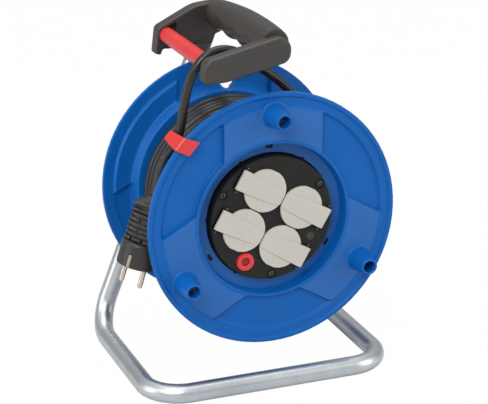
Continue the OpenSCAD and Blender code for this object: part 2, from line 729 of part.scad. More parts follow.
module plug_body() color([0.1, 0.1, 0.1]) plug_frame() difference() {
  union() {
    cylinder(r = plug_r, h = 23);
    grip_slice(15.4, 10.4, 22, 51);
    for (i = [0:5]) grip_slice(16.4, 11.4, 24.6 + 4.3 * i, 26.8 + 4.3 * i);
    grip_slice(17.2, 9.8, 50.3, 52.3);
    grip_slice(14.6, 8.6, 50.5, 58);
    grip_slice(17.2, 9.4, 56, 58);
    translate([0, 0, 57]) cylinder(r1 = 9.2, r2 = 6.6, h = plug_len - 57);
  }
  translate([0, 0, plug_len - 10]) cylinder(r = cable_r + 0.15, h = 12);
  for (s = [-1, 1]) {
    translate([s * pin_pitch / 2, 0, -1]) cylinder(r = pin_tail_r + 0.02, h = 11.2);
    translate([-1.6, s * (plug_r - 0.3) - 0.8, -1]) cube([3.2, 1.6, 13.4]);
  }
}

module plug_pins() color([0.8, 0.78, 0.74]) plug_frame() for (s = [-1, 1])
  translate([s * pin_pitch / 2, 0, 0]) {
    translate([0, 0, 1 - pin_len]) cylinder(r = pin_r, h = pin_len - 1);
    translate([0, 0, -pin_len]) cylinder(r1 = pin_r - 0.8, r2 = pin_r, h = 1);
    translate([0, 0, -1]) cylinder(r = pin_tail_r, h = 11);
  }

module plug_earth_strips() color([0.8, 0.78, 0.74]) plug_frame() for (s = [-1, 1])
  translate([-1.4, s * (plug_r - 0.5) - 0.5, 0.3]) cube([2.8, 1, 11.6]);

// ---------- output ----------

stand_tube();
handle_frame();
handle_screw();
guide_roller();
axle_bolt();
saddle_spacers();
axle_washer();
axle_nut();
hub_bushes();
front_flange();
rear_flange();
drum_barrel();
flange_screws();
socket_plate();
plate_screws();
blank_plug();
earth_strips();
line_contacts();
neutral_contacts();
contact_cover();
cover_screw();
cord_grip();
cord_grip_screws();
cable_tail();
lid_a();
lid_b();
lid_c();
lid_d();
hinge_pins();
lid_springs();
reset_bezel();
reset_button();
thermal_cutout();
cable_winding();
cable_lead();
cable_clip();
plug_body();
plug_pins();
plug_earth_strips();
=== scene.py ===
"""Looks of an extension cord reel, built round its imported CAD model.

Lengths are millimetres until a mesh is made. The drum turns about the y axis, which runs back into the reel.
+z is up, +x is to the right seen from the front, and the front flange's rim lies in the plane y = 0.
"""
import json
import math
import bmesh
import bpy
from mathutils import Matrix, Vector


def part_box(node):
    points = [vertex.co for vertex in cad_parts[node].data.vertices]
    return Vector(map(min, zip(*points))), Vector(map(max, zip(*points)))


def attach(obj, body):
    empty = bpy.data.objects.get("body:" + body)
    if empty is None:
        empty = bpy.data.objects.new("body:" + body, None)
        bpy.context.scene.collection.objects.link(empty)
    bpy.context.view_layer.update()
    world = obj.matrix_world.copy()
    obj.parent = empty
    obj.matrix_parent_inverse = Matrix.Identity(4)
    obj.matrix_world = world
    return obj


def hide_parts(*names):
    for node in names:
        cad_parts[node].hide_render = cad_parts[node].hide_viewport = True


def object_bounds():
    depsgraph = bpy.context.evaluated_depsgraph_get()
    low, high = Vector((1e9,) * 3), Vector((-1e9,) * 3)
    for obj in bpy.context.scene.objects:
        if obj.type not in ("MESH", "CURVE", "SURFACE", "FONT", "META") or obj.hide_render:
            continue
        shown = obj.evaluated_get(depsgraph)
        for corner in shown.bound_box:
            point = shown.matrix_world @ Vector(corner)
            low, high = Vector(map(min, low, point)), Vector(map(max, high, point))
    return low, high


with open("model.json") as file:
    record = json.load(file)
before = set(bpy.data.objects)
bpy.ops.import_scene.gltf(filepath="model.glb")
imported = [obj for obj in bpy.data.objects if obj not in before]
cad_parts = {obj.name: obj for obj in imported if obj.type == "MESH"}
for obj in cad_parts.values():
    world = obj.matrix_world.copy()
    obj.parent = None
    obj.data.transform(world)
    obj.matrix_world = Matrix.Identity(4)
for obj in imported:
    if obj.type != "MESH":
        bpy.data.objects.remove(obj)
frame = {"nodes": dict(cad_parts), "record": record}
cad_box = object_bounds()

MM = 0.001
TAU = 2 * math.pi
Y_TO_Z = Matrix.Rotation(math.radians(90), 4, "X")

# Edges sharper than this stay crisp
CRISP_ANGLE = math.radians(35)

# After a boolean, points closer than the first distance are merged, and thinner slivers than the second go
MERGE_DIST = 0.003
SLIVER_DIST = 0.002


# ---------- sizes the frame gives ----------

def corners(node):
    """Lowest and highest corner of a CAD node, in millimetres."""
    lo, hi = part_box(node)
    return lo / MM, hi / MM


FRONT_LO, FRONT_HI = corners("front_flange")
REAR_LO, REAR_HI = corners("rear_flange")
STAND_LO, STAND_HI = corners("stand_tube")
HANDLE_LO, _ = corners("handle_frame")
ROLLER_LO, ROLLER_HI = corners("guide_roller")
_, WINDING_HI = corners("cable_winding")

FLANGE_R = FRONT_HI.x
BOSS_TIP_Y = FRONT_LO.y
REAR_RIM_Y = REAR_HI.y
FLOOR_Z = STAND_LO.z

# Both flanges: three raised arms, given by their angles seen from the front and their half width
ARM_ANGLES = [90, -30, 210]
ARM_HALF = 48

# Front flange
FRONT_CUP_R = 72
FRONT_HOLE_R = 60.6
BOSS_CIRCLE_R = 99
BOSS_HOLE_R = 5.4
LATCH_R = 66.5

# Rear flange: its web is the flat floor of its cup
REAR_CUP_R = 89.3
REAR_WEB_FRONT_Y = REAR_RIM_Y - 17
REAR_WEB_BACK_Y = REAR_RIM_Y - 14
REAR_TURN = 1.7
REAR_HOLE_R = 7.8
REAR_HOLE_CIRCLE_R = 96
REAR_HOLE_TURN = 3.4
REAR_SCREW_CIRCLE_R = 61.5
REAR_SCREW_ANGLES = [a + 20 for a in ARM_ANGLES]
HUB_R = 16
HUB_HOLE_R = 16.9

# Stand: the brace's end is swaged, drawn down to a smaller radius
TUBE_R = 9
LEG_LEAN = math.radians(21.5)
FRONT_BEND_R = 34
REAR_BEND_R = 33
SWAGE = 0.8
SWAGE_LEN = 24

# Handle: two arms with the grip and the guide roller between them
ARM_T = 14
NEAR_FACE_Y = HANDLE_LO.y
FAR_FACE_Y = REAR_RIM_Y + 24 - ARM_T
ARM_FOOT_Z = 130
GRIP = Vector((2, 0, 159.5))
GRIP_R = 11.8
ROLLER = Vector(((ROLLER_LO.x + ROLLER_HI.x) / 2, 0, (ROLLER_LO.z + ROLLER_HI.z) / 2))
ROLLER_R = (ROLLER_HI.x - ROLLER_LO.x) / 2

# Cable and the clip that parks it
CABLE_R = 4.15
CLIP_ANGLE = 138.5

# Socket plate, drawn in its own frame, whose x axis points at the lower right arm
PLATE = Matrix.Rotation(math.radians(30), 4, "Y")
PLATE_Y = 5
PLATE_R = 59
PLATE_SCREW_R = 54.5
PLATE_SCREW_ANGLES = [60, 180, 300]
SOCKET = 20.5
WELL_R = 19.4
LID_R = 20.4
HINGE_X = 25.5
HINGE_Y = 3.1
HINGE_HALF = 9.8
RESET = Vector((-3.2, 0, -46.8))
BLANK = Vector((44, 0, 0))

# Plug, drawn in its own frame: z runs up the plug to the cable, from the pin face
PLUG_FOOT = Vector((-123.1, 30, -37.2))
PLUG_LEAN = math.radians(17.2)
PLUG_LEN = 67
PIN_PITCH = 19
PLUG = (Matrix.Translation(PLUG_FOOT) @ Matrix.Rotation(PLUG_LEAN, 4, "Y")
        @ Matrix.Rotation(math.radians(-45), 4, "Z"))


# ---------- mesh helpers ----------

def polar(r, degrees, y=0):
    """A point at a front-view angle and radius from the drum axis."""
    a = math.radians(degrees)
    return Vector((r * math.cos(a), y, r * math.sin(a)))


def smooth_step(t):
    t = min(max(t, 0), 1)
    return t * t * (3 - 2 * t)


def mix(a, b, t):
    return a + (b - a) * t


def grid(rows, looped=False):
    """A closed surface through rings of points, joined last to first if looped, else capped at both ends."""
    n = len(rows[0])
    verts = [Vector(p) for row in rows for p in row]
    faces = []
    for i in range(len(rows) if looped else len(rows) - 1):
        a, b = i * n, (i + 1) % len(rows) * n
        faces += [(a + k, a + (k + 1) % n, b + (k + 1) % n, b + k) for k in range(n)]
    if not looped:
        faces.append(tuple(range(n)))
        faces.append(tuple(reversed(range(len(verts) - n, len(verts)))))
    return verts, faces


def moved(shell, matrix):
    verts, faces = shell
    return [matrix @ v for v in verts], faces


def at(shell, point):
    return moved(shell, Matrix.Translation(point))


def lathe(profile, looped=False, steps=96):
    """A profile of (radius, y) turned about the y axis."""
    rings = [[Vector((r * math.cos(TAU * k / steps), y, r * math.sin(TAU * k / steps))) for k in range(steps)]
             for r, y in profile]
    return grid(rings, looped)


def rounded_ends(y0, y1, edge):
    """(inset, y) pairs that round off the edges of a solid running from y0 to y1."""
    quarter = [math.radians(a) for a in (0, 30, 60, 90)]
    front = [(edge * (1 - math.sin(a)), y0 + edge * (1 - math.cos(a))) for a in quarter]
    return front + [(inset, y1 - (y - y0)) for inset, y in reversed(front)]


def rod(r, y0, y1, edge=0, steps=48):
    """A round bar along y, its edges rounded unless edge is 0."""
    ends = rounded_ends(y0, y1, edge) if edge else [(0, y0), (0, y1)]
    return lathe([(r - inset, y) for inset, y in ends], steps=steps)


def block(lo, hi):
    """A plain box, used only as a cutter or fused into a larger piece."""
    x0, y0, z0 = lo
    x1, y1, z1 = hi
    front = [Vector(p) for p in ((x0, y0, z0), (x1, y0, z0), (x1, y0, z1), (x0, y0, z1))]
    back = [Vector((p.x, y1, p.z)) for p in front]
    return grid([front, back])


def rounded(points, steps, inset=0):
    """An anticlockwise outline of (x, z, radius) corners with an arc at each, moved inwards by inset."""
    outline = []
    for i, (x, z, r) in enumerate(points):
        here = Vector((x, z))
        before = (Vector(points[i - 1][:2]) - here).normalized()
        after = (Vector(points[(i + 1) % len(points)][:2]) - here).normalized()
        half = before.angle(after) / 2
        centre = here + (before + after).normalized() * (r / math.sin(half))
        start = here + before * (r / math.tan(half)) - centre
        convex = before.x * after.y - before.y * after.x < 0
        sweep = (math.pi - 2 * half) * (1 if convex else -1)
        radius = max(r - inset, 0.02) if convex else r + inset
        for k in range(steps + 1):
            a = math.atan2(start.y, start.x) + sweep * k / steps
            outline.append(centre + Vector((math.cos(a), math.sin(a))) * radius)
    return outline


def slab(points, y0, y1, edge, steps=6):
    """A front-view outline given depth from y0 to y1, with rounded edges."""
    return grid([[Vector((p.x, y, p.y)) for p in rounded(points, steps, inset)]
                 for inset, y in rounded_ends(y0, y1, edge)])


def spline(points, steps):
    """Catmull-Rom curve through points."""
    curve = []
    for i in range(len(points) - 1):
        a, b, c, d = points[max(i - 1, 0)], points[i], points[i + 1], points[min(i + 2, len(points) - 1)]
        for k in range(steps):
            t = k / steps
            curve.append(0.5 * (2 * b + (c - a) * t + (2 * a - 5 * b + 4 * c - d) * t ** 2
                                + (3 * b - a - 3 * c + d) * t ** 3))
    return curve + [points[-1]]


def bent(path, step=4):
    """Points along (corner, bend radius) pairs: straight lengths with an arc at every inner corner."""
    points = [path[0][0]]
    for (before, _), (here, r), (after, _) in zip(path, path[1:], path[2:]):
        u, v = (before - here).normalized(), (after - here).normalized()
        half = u.angle(v) / 2
        centre = here + (u + v).normalized() * (r / math.sin(half))
        start = here + u * (r / math.tan(half)) - centre
        sweep = math.pi - 2 * half
        axis = v.cross(u)
        count = max(3, round(math.degrees(sweep) / step))
        points += [centre + Matrix.Rotation(sweep * k / count, 3, axis) @ start for k in range(count + 1)]
    return points + [path[-1][0]]


def carried(path):
    """(point, side, up) along a path, the side vectors carried along without twist."""
    stations = []
    side = None
    for i, p in enumerate(path):
        along = (path[min(i + 1, len(path) - 1)] - path[max(i - 1, 0)]).normalized()
        if side is None:
            side = along.cross(Vector((0.1, 1, 0.1)))
        side = (side - along * side.dot(along)).normalized()
        stations.append((p, side, along.cross(side)))
    return stations


def sweep(path, section):
    """A surface swept along a path; section(i) gives the cross-section's (side, up) points at point i."""
    return grid([[p + side * a + up * b for a, b in section(i)]
                 for i, (p, side, up) in enumerate(carried(path))])


def circle(r, steps):
    return [(r * math.cos(TAU * k / steps), r * math.sin(TAU * k / steps)) for k in range(steps)]


def cord(path, steps):
    section = circle(CABLE_R, steps)
    return sweep(path, lambda i: section)


def shade(obj):
    """Smooth shading with the crisp edges kept."""
    obj.data.polygons.foreach_set("use_smooth", [True] * len(obj.data.polygons))
    obj.data.set_sharp_from_angle(angle=CRISP_ANGLE)


def build(name, *shells):
    """One smooth-shaded mesh object from closed shells."""
    verts, faces = [], []
    for shell_verts, shell_faces in shells:
        base = len(verts)
        verts += [v * MM for v in shell_verts]
        faces += [tuple(base + i for i in face) for face in shell_faces]
    mesh = bpy.data.meshes.new(name)
    mesh.from_pydata(verts, [], faces)
    work = bmesh.new()
    work.from_mesh(mesh)
    bmesh.ops.recalc_face_normals(work, faces=work.faces)
    work.to_mesh(mesh)
    work.free()
    obj = bpy.data.objects.new(name, mesh)
    bpy.context.scene.collection.objects.link(obj)
    shade(obj)
    return obj


def boolean(obj, operation, shells, overlapping=False):
    """Joins or cuts obj with closed shells; overlapping says that the shells may cross each other."""
    tool = build("tool", *shells)
    modifier = obj.modifiers.new("boolean", "BOOLEAN")
    modifier.operation = operation
    modifier.solver = "EXACT"
    modifier.use_self = overlapping
    modifier.object = tool
    result = bpy.data.meshes.new_from_object(obj.evaluated_get(bpy.context.evaluated_depsgraph_get()))
    obj.modifiers.clear()
    old = obj.data
    obj.data = result
    for mesh in (old, tool.data):
        bpy.data.meshes.remove(mesh)
    work = bmesh.new()
    work.from_mesh(result)
    bmesh.ops.remove_doubles(work, verts=work.verts, dist=MERGE_DIST * MM)
    bmesh.ops.dissolve_degenerate(work, edges=work.edges, dist=SLIVER_DIST * MM)
    work.to_mesh(result)
    work.free()
    shade(obj)


def fuse(obj, *shells, overlapping=False):
    boolean(obj, "UNION", shells, overlapping)


def cut(obj, *shells):
    boolean(obj, "DIFFERENCE", shells)


def shell_of(obj):
    """Takes a working object apart into a closed shell that other pieces can be made from."""
    shell = [v.co / MM for v in obj.data.vertices], [tuple(face.vertices) for face in obj.data.polygons]
    bpy.data.meshes.remove(obj.data)
    return shell


def dress(obj, slot, node, *more_finishes):
    """obj takes its slot's finish, rides on the body of the CAD node it stands for and hides that node."""
    obj.data.name = obj.name
    obj.data.materials.clear()
    for name in (slot, *more_finishes):
        obj.data.materials.append(FINISHES[name])
    weighted = obj.modifiers.new("weighted", "WEIGHTED_NORMAL")
    weighted.keep_sharp = True
    bodies = frame["record"]["behaviour"]["bodies"]
    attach(obj, next(body for body, nodes in bodies.items() if node in nodes))
    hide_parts(node)


# ---------- materials ----------

class Tree:
    """Short hand for building a node tree."""

    def __init__(self, tree):
        self.tree = tree

    def link(self, source, target):
        """Feeds an input from another node's output, or sets it to a plain value."""
        if isinstance(source, bpy.types.NodeSocket):
            self.tree.links.new(source, target)
        else:
            target.default_value = source

    def node(self, kind, inputs=None, **settings):
        """A new node with its settings made and its inputs fed."""
        made = self.tree.nodes.new(kind)
        for key, value in settings.items():
            setattr(made, key, value)
        for key, source in (inputs or {}).items():
            self.link(source, made.inputs[key])
        return made

    def remap(self, value, low, high, to_low, to_high):
        """Stretches the range low to high onto to_low to to_high, clamped at both ends."""
        inputs = {"Value": value, "From Min": low, "From Max": high, "To Min": to_low, "To Max": to_high}
        return self.node("ShaderNodeMapRange", inputs).outputs["Result"]

    def times(self, a, b):
        return self.node("ShaderNodeMath", {0: a, 1: b}, operation="MULTIPLY").outputs["Value"]

    def for_camera(self, seen, around, share=1):
        """A shader that the camera sees as seen, by a share, and everything else as around."""
        factor = self.times(self.node("ShaderNodeLightPath").outputs["Is Camera Ray"], share)
        inputs = {0: factor, 1: around.outputs[0], 2: seen.outputs[0]}
        return self.node("ShaderNodeMixShader", inputs).outputs[0]


class Finish(Tree):
    """A principled material, drawn in object coordinates."""

    def __init__(self, name, metallic=0, specular=0.5):
        self.material = bpy.data.materials.new(name)
        self.material.use_nodes = True
        super().__init__(self.material.node_tree)
        self.shader = self.tree.nodes["Principled BSDF"]
        self.shader.inputs["Metallic"].default_value = metallic
        self.shader.inputs["Specular IOR Level"].default_value = specular
        self.place = self.node("ShaderNodeTexCoord").outputs["Object"]

    def noise(self, size, detail=3, roughness=0.55, stretch=(1, 1, 1)):
        """Noise from 0 to 1 whose blotches are about size millimetres across."""
        scale = [1 / (size * MM * s) for s in stretch]
        place = self.node("ShaderNodeMapping", {"Vector": self.place, "Scale": scale}).outputs["Vector"]
        inputs = {"Vector": place, "Scale": 1, "Detail": detail, "Roughness": roughness}
        return self.node("ShaderNodeTexNoise", inputs).outputs["Fac"]

    def blend(self, factor, a, b):
        return self.node("ShaderNodeMix", {"Factor": factor, 6: a, 7: b}, data_type="RGBA").outputs[2]

    def edges(self):
        """1 on convex edges, where handling rubs the surface."""
        return self.remap(self.node("ShaderNodeNewGeometry").outputs["Pointiness"], 0.52, 0.6, 0, 1)

    def bump(self, *layers):
        """Layers of (height, depth in millimetres, strength), laid over each other."""
        below = {}
        for height, depth, strength in layers:
            inputs = {"Height": height, "Distance": depth * MM, "Strength": strength, **below}
            below = {"Normal": self.node("ShaderNodeBump", inputs).outputs["Normal"]}
        self.link(below["Normal"], self.shader.inputs["Normal"])

    def paint(self, colour, rough):
        self.link(colour, self.shader.inputs["Base Color"])
        self.link(rough, self.shader.inputs["Roughness"])


def shaded(colour, factor=1):
    """An sRGB colour of 0 to 255 as the linear colour a shader takes, made lighter or darker by a factor."""
    levels = [c / 255 for c in colour]
    channels = [c / 12.92 if c <= 0.04045 else ((c + 0.055) / 1.055) ** 2.4 for c in levels]
    return (*[min(c * factor, 1) for c in channels], 1)


def moulded(name, colour, rough, grain=0.5, depth=0.02, flow=0.08, wear=0.12, specular=0.5):
    """Moulded plastic: soft colour flow, fine mould grain, rubbed edges and uneven gloss."""
    f = Finish(name, specular=specular)
    soft = f.remap(f.noise(38, detail=2), 0.3, 0.7, 0, 1)
    tone = f.blend(soft, shaded(colour, 1 - flow), shaded(colour, 1 + flow))
    specks = f.remap(f.noise(grain * 2), 0.35, 0.7, 0, 1)
    tone = f.blend(f.times(specks, 0.4), tone, shaded(colour, 1 + 2 * flow))
    tone = f.blend(f.times(f.edges(), wear), tone, shaded(colour, 1.6))
    f.paint(tone, f.remap(f.noise(16, detail=3), 0.3, 0.7, rough - 0.03, rough + 0.05))
    f.bump((f.noise(30, detail=1), 0.2, 0.1), (f.noise(grain, detail=2), depth, 0.5))
    return f.material


def sheathing(name, colour, rough):
    """Rubbery cable sheath: dull black with faint dust, drag marks and a soft shine."""
    f = Finish(name, specular=0.45)
    dust = f.remap(f.noise(14, detail=5, roughness=0.65), 0.45, 0.8, 0, 0.5)
    tone = f.blend(dust, shaded(colour), shaded(colour, 1.8))
    marks = f.noise(2.2, detail=3, roughness=0.7, stretch=(1, 1, 3))
    f.paint(tone, f.remap(marks, 0.35, 0.75, rough - 0.07, rough + 0.14))
    f.bump((f.noise(5, detail=2), 0.3, 0.15), (f.noise(0.5, detail=3), 0.03, 0.4))
    return f.material


def metal(name, colour, rough, blotch=0.1, blotch_size=3):
    """Plated or drawn metal: uneven plating, fine scratches and duller patches."""
    f = Finish(name, metallic=1)
    patches = f.remap(f.noise(blotch_size, detail=5, roughness=0.6), 0.3, 0.7, 0, 1)
    tone = f.blend(patches, shaded(colour, 1 - blotch), shaded(colour, 1 + blotch))
    stains = f.remap(f.noise(blotch_size * 5, detail=4), 0.5, 0.75, 0, 0.4)
    tone = f.blend(stains, tone, shaded(colour, 0.75))
    scratched = f.noise(0.9, detail=4, roughness=0.7)
    f.paint(tone, f.remap(scratched, 0.3, 0.75, rough - 0.06, rough + 0.12))
    f.bump((f.noise(blotch_size * 0.6, detail=3), 0.05, 0.25), (scratched, 0.02, 0.35))
    return f.material


PLASTICS = {
    "blue_plastic": dict(colour=(6, 88, 164), rough=0.36, grain=0.6, depth=0.01, flow=0.04, specular=0.2),
    "blue_matt": dict(colour=(34, 94, 164), rough=0.5, depth=0.015, flow=0.04, specular=0.3),
    "black_plastic": dict(colour=(50, 47, 44), rough=0.44, grain=1.1, depth=0.2, flow=0.12, wear=0.35),
    "plate_plastic": dict(colour=(26, 25, 23), rough=0.5, grain=0.4, depth=0.03, flow=0.1, specular=0.25),
    "lid_plastic": dict(colour=(184, 180, 171), rough=0.45, depth=0.015, flow=0.03),
    "red_plastic": dict(colour=(200, 32, 34), rough=0.38, grain=0.6, depth=0.015, flow=0.05, specular=0.8),
    "button_plastic": dict(colour=(128, 20, 24), rough=0.42),
    "grey_plastic": dict(colour=(44, 42, 40), rough=0.5),
    "natural_plastic": dict(colour=(214, 208, 190), rough=0.5, flow=0.05),
}
METALS = {
    "black_hardware": dict(colour=(92, 90, 88), rough=0.34, blotch_size=2),
    "zinc_tube": dict(colour=(203, 208, 211), rough=0.36, blotch=0.04, blotch_size=9),
    "zinc_hardware": dict(colour=(200, 202, 205), rough=0.3),
    "brass": dict(colour=(205, 165, 95), rough=0.3, blotch=0.12),
    "spring_steel": dict(colour=(190, 170, 120), rough=0.28, blotch_size=2),
    "nickel_brass": dict(colour=(212, 196, 178), rough=0.24, blotch=0.08),
}
RUBBERS = {
    "cable_rubber": dict(colour=(34, 32, 31), rough=0.34),
    "plug_rubber": dict(colour=(42, 40, 38), rough=0.42),
}
FINISHES = {}
for make, looks in ((moulded, PLASTICS), (metal, METALS), (sheathing, RUBBERS)):
    FINISHES.update((name, make(name, **look)) for name, look in looks.items())


# ---------- stand ----------

def weld(leg_foot, leg_way, brace_foot, brace_way):
    """A bead of weld round the brace where it meets the leg."""
    inward = Vector((leg_way.z, 0, -leg_way.x))
    across = Vector((brace_way.z, 0, -brace_way.x))
    r, steps = TUBE_R - SWAGE, 48
    path = []
    for k in range(steps):
        a = TAU * k / steps
        rim = brace_foot + (across * math.cos(a) + Vector((0, 1, 0)) * math.sin(a)) * r
        reach = math.sqrt(TUBE_R ** 2 - (r * math.sin(a)) ** 2)
        path.append(rim + brace_way * ((reach - (rim - leg_foot).dot(inward)) / brace_way.dot(inward)))
    centre = sum(path, Vector()) / steps
    rows = []
    for k, p in enumerate(path):
        ahead = (path[(k + 1) % steps] - path[k - 1]).normalized()
        out = (p - centre - ahead * (p - centre).dot(ahead)).normalized()
        bead = 2.1 + 0.35 * math.sin(9 * TAU * k / steps)
        rows.append([p + out * a + ahead.cross(out) * b for a, b in circle(bead, 10)])
    return grid(rows, looped=True)


def stand():
    """One tube, bent round the floor and welded to its own leg. Returns the leg's foot, way and length."""
    floor = FLOOR_Z + TUBE_R
    left, right = STAND_LO.x + TUBE_R, STAND_HI.x - TUBE_R
    front, rear = STAND_LO.y + TUBE_R, STAND_HI.y - TUBE_R
    leg_way = Vector((math.sin(LEG_LEAN), 0, math.cos(LEG_LEAN)))
    leg_foot = Vector((left, rear, floor))
    leg_len = (STAND_HI.z - TUBE_R * math.sin(LEG_LEAN) - floor) / leg_way.z
    shown_len = (ARM_FOOT_Z - TUBE_R * math.sin(LEG_LEAN) - floor) / leg_way.z
    brace_foot = Vector((right, rear, floor))
    brace_way = (Vector((0, rear, 0)) - brace_foot).normalized()
    brace_lean = math.atan2(-brace_way.x, brace_way.z)
    brace_len = (right - left) * leg_way.z / math.sin(LEG_LEAN + brace_lean)

    path = bent([
        (leg_foot + leg_way * shown_len, 0), (leg_foot, REAR_BEND_R),
        (Vector((left, front, floor)), FRONT_BEND_R), (Vector((right, front, floor)), FRONT_BEND_R),
        (brace_foot, REAR_BEND_R), (brace_foot + brace_way * (brace_len - SWAGE_LEN - 3), 0)
    ])
    path.append(brace_foot + brace_way * (brace_len - SWAGE_LEN))
    path.append(brace_foot + brace_way * (brace_len - 0.4 * TUBE_R))
    swaged = len(path) - 2
    full, necked = circle(TUBE_R, 40), circle(TUBE_R - SWAGE, 40)
    tube = build("bent_tube", sweep(path, lambda i: necked if i >= swaged else full))
    fuse(tube, weld(leg_foot, leg_way, brace_foot, brace_way), overlapping=True)
    dress(tube, "zinc_tube", "stand_tube")
    return leg_foot, leg_way, leg_len


# ---------- handle ----------

def grip_rows(y0, y1):
    """Rings of the hand grip: four finger swells underneath and a palm swell over the top."""
    rings = []
    count, steps, fingers = 72, 48, 4
    fingers_way, palm_way = math.radians(240), math.radians(55)
    for i in range(count + 1):
        t = i / count
        swell = 1.3 * (1 - math.cos(TAU * fingers * t))
        palm = 4.4 * (1 - t) ** 1.5 + 4.9 * math.sin(math.pi * t) ** 0.8
        ring = []
        for k in range(steps):
            a = TAU * k / steps
            under = max(0, math.cos(a - fingers_way)) ** 1.5
            over = max(0, math.cos(a - palm_way))
            r = GRIP_R + swell * under + palm * over
            ring.append(Vector((GRIP.x + r * math.cos(a), mix(y0, y1, t), GRIP.z + r * math.sin(a))))
        rings.append(ring)
    return rings


def leg_collar(place, length):
    """Collar round the top of the leg, cut flush with the inner face of the arm above it."""
    collar = build("collar", moved(rod(11.8, 0, length, edge=1.2), place))
    cut(collar, block((-60, FAR_FACE_Y - 30, ARM_FOOT_Z), (40, FAR_FACE_Y + 0.4, 200)))
    return shell_of(collar)


def handle(leg_foot, leg_way, leg_len):
    """Two bevelled arms joined by the hand grip, with a collar that takes the top of the leg."""
    near = [(-69.3, 133.6, 5.5), (-46, 134, 50), (14.4, 147.4, 10), (16.6, 173.9, 12), (-65.4, 155.2, 9)]
    far = [(-60.6, 123.6, 1.6), (-54.8, 121.8, 1.6), (-52.6, 127.6, 3), (-30, 126.4, 30), (17, 143.5, 9),
           (16.5, 170.6, 12), (-20, 167.2, 40), (-57.6, 148.4, 6)]
    arms = build("grip_frame", slab(near, NEAR_FACE_Y, NEAR_FACE_Y + ARM_T, edge=3.2, steps=10))
    fuse(arms, slab(far, FAR_FACE_Y, FAR_FACE_Y + ARM_T, edge=2, steps=10))
    fuse(arms, grid(grip_rows(NEAR_FACE_Y + ARM_T - 2, FAR_FACE_Y + 2)))

    collar_len, past_end = 34, 3
    start = leg_foot + leg_way * (leg_len - collar_len)
    place = Matrix.Translation(start) @ Vector((0, 1, 0)).rotation_difference(leg_way).to_matrix().to_4x4()
    fuse(arms, leg_collar(place, collar_len + past_end))
    shown = (ARM_FOOT_Z - TUBE_R * math.sin(LEG_LEAN) - start.z) / leg_way.z
    cut(arms, moved(rod(TUBE_R + 0.05, -2, shown + 0.3), place))

    inner_face = NEAR_FACE_Y + ARM_T
    pocket = [(-56.6, 133.5, 7), (-40.5, 133.5, 7), (-38.5, 153.5, 1.5), (-54.5, 146.5, 6)]
    cut(arms, slab(pocket, FAR_FACE_Y - 6, FAR_FACE_Y + 5, edge=1),
        at(rod(ROLLER_R + 0.8, inner_face - 3.5, inner_face + 6), ROLLER))
    dress(arms, "black_plastic", "handle_frame")


def roller():
    """Turned guide roller with rounded ends and a journal at each end."""
    r, e = ROLLER_R, 0.6
    y0, y1 = NEAR_FACE_Y + ARM_T - 3.1, FAR_FACE_Y + 4.6
    profile = [(4, ROLLER_LO.y), (4, y0), (r - e, y0), (r - 0.2, y0 + 0.2), (r, y0 + e)]
    profile += [(r + 0.05 * math.sin(k), mix(y0 + e, y1 - e, k / 12)) for k in range(1, 12)]
    profile += [(r, y1 - e), (r - 0.2, y1 - 0.2), (r - e, y1), (4, y1), (4, ROLLER_HI.y)]
    dress(build("roller_tube", at(lathe(profile, steps=64), ROLLER)), "red_plastic", "guide_roller")


# ---------- flanges ----------

# A flange's cross-section is rows of (radius, depth on its arms, depth in the pockets between, if different).
# Depths run back from the rim's front face. The rim's own rows start with the distance in from the edge.
RIM_FRONT = (
    (16, 1.2, 5), (14.8, 1.2, 4.9), (14, 1.25, 4.3), (12.8, 1.6, 2.7), (12.1, 1.9, 1.95), (11.4, 1.95, 1.95),
    (5.6, 1.9, 1.9), (4.9, 1.75, 1.75), (4.4, 1.2, 1.2), (4, 0.45, 0.45), (3.5, 0.1, 0.1), (2.8, 0, 0),
    (1.2, 0, 0), (0.4, 0.3, 0.3), (0, 1.1, 1.1)
)
RIM_BACK = (
    (0, 4, 4), (0.3, 4.6, 4.6), (1, 4.8, 4.8), (3, 4.8, 4.8), (9.6, 4.8, 5), (10.4, 4.8, 5.8),
    (11, 4.75, 7.4), (11.8, 4.4, 8), (13, 4.2, 8)
)
RIM_ROWS = [(FLANGE_R - inset, arm, pocket) for inset, arm, pocket in RIM_FRONT + RIM_BACK]


def cup_rows(r):
    """Front of a flange just outside its cup wall of radius r: rounded lip, then the foot of the pockets."""
    lip = ((0.3, 1.3, 1.3), (0.9, 0.95, 0.95), (2.2, 0.95, 0.95), (3, 1.1, 1.25))
    foot = ((3.4, 1.2, 1.7), (3.9, 1.2, 4.4), (4.6, 1.2, 4.95), (5.5, 1.2, 5))
    return [(r + out, arm, pocket) for out, arm, pocket in lip + foot]


def front_rows():
    """The front flange from the hole in its cup, over the front and the rim, to the back of the cup."""
    cup, hole = FRONT_CUP_R, FRONT_HOLE_R
    inside = [(hole, 15.6), (hole, 13.4), (hole + 0.4, 13), (cup - 2.2, 13), (cup - 1.1, 12.75),
              (cup - 0.6, 12), (cup, 2.2)]
    behind = [(95, 4.2, 8), (86, 4.2, 8), (cup + 5, 4.2, 8), (cup + 4, 4.4, 8.2), (cup + 3.4, 5.2, 8.9),
              (cup + 2.8, 15), (cup + 2.3, 15.8), (cup + 1.6, 16), (hole + 0.4, 16)]
    return inside + cup_rows(cup) + [(86, 1.2, 5), (95, 1.2, 5)] + RIM_ROWS + behind


def rear_rows():
    """The rear flange from the hole for the hub, over the front and the rim, to the back of the cup."""
    cup, hole = REAR_CUP_R, HUB_HOLE_R
    inside = [(hole, 14), (cup - 4.5, 14), (cup - 3.3, 13.6), (cup - 2.7, 12.8), (cup, 2.2)]
    behind = [(98, 4.2, 8), (cup + 4.9, 4.3, 8.1), (cup + 3.9, 5.4, 8.6), (cup + 3.2, 8, 9.6),
              (cup + 0.1, 16), (cup - 0.7, 16.8), (cup - 1.7, 17), (hole, 17)]
    return inside + cup_rows(cup) + [(98, 1.2, 5)] + RIM_ROWS + behind


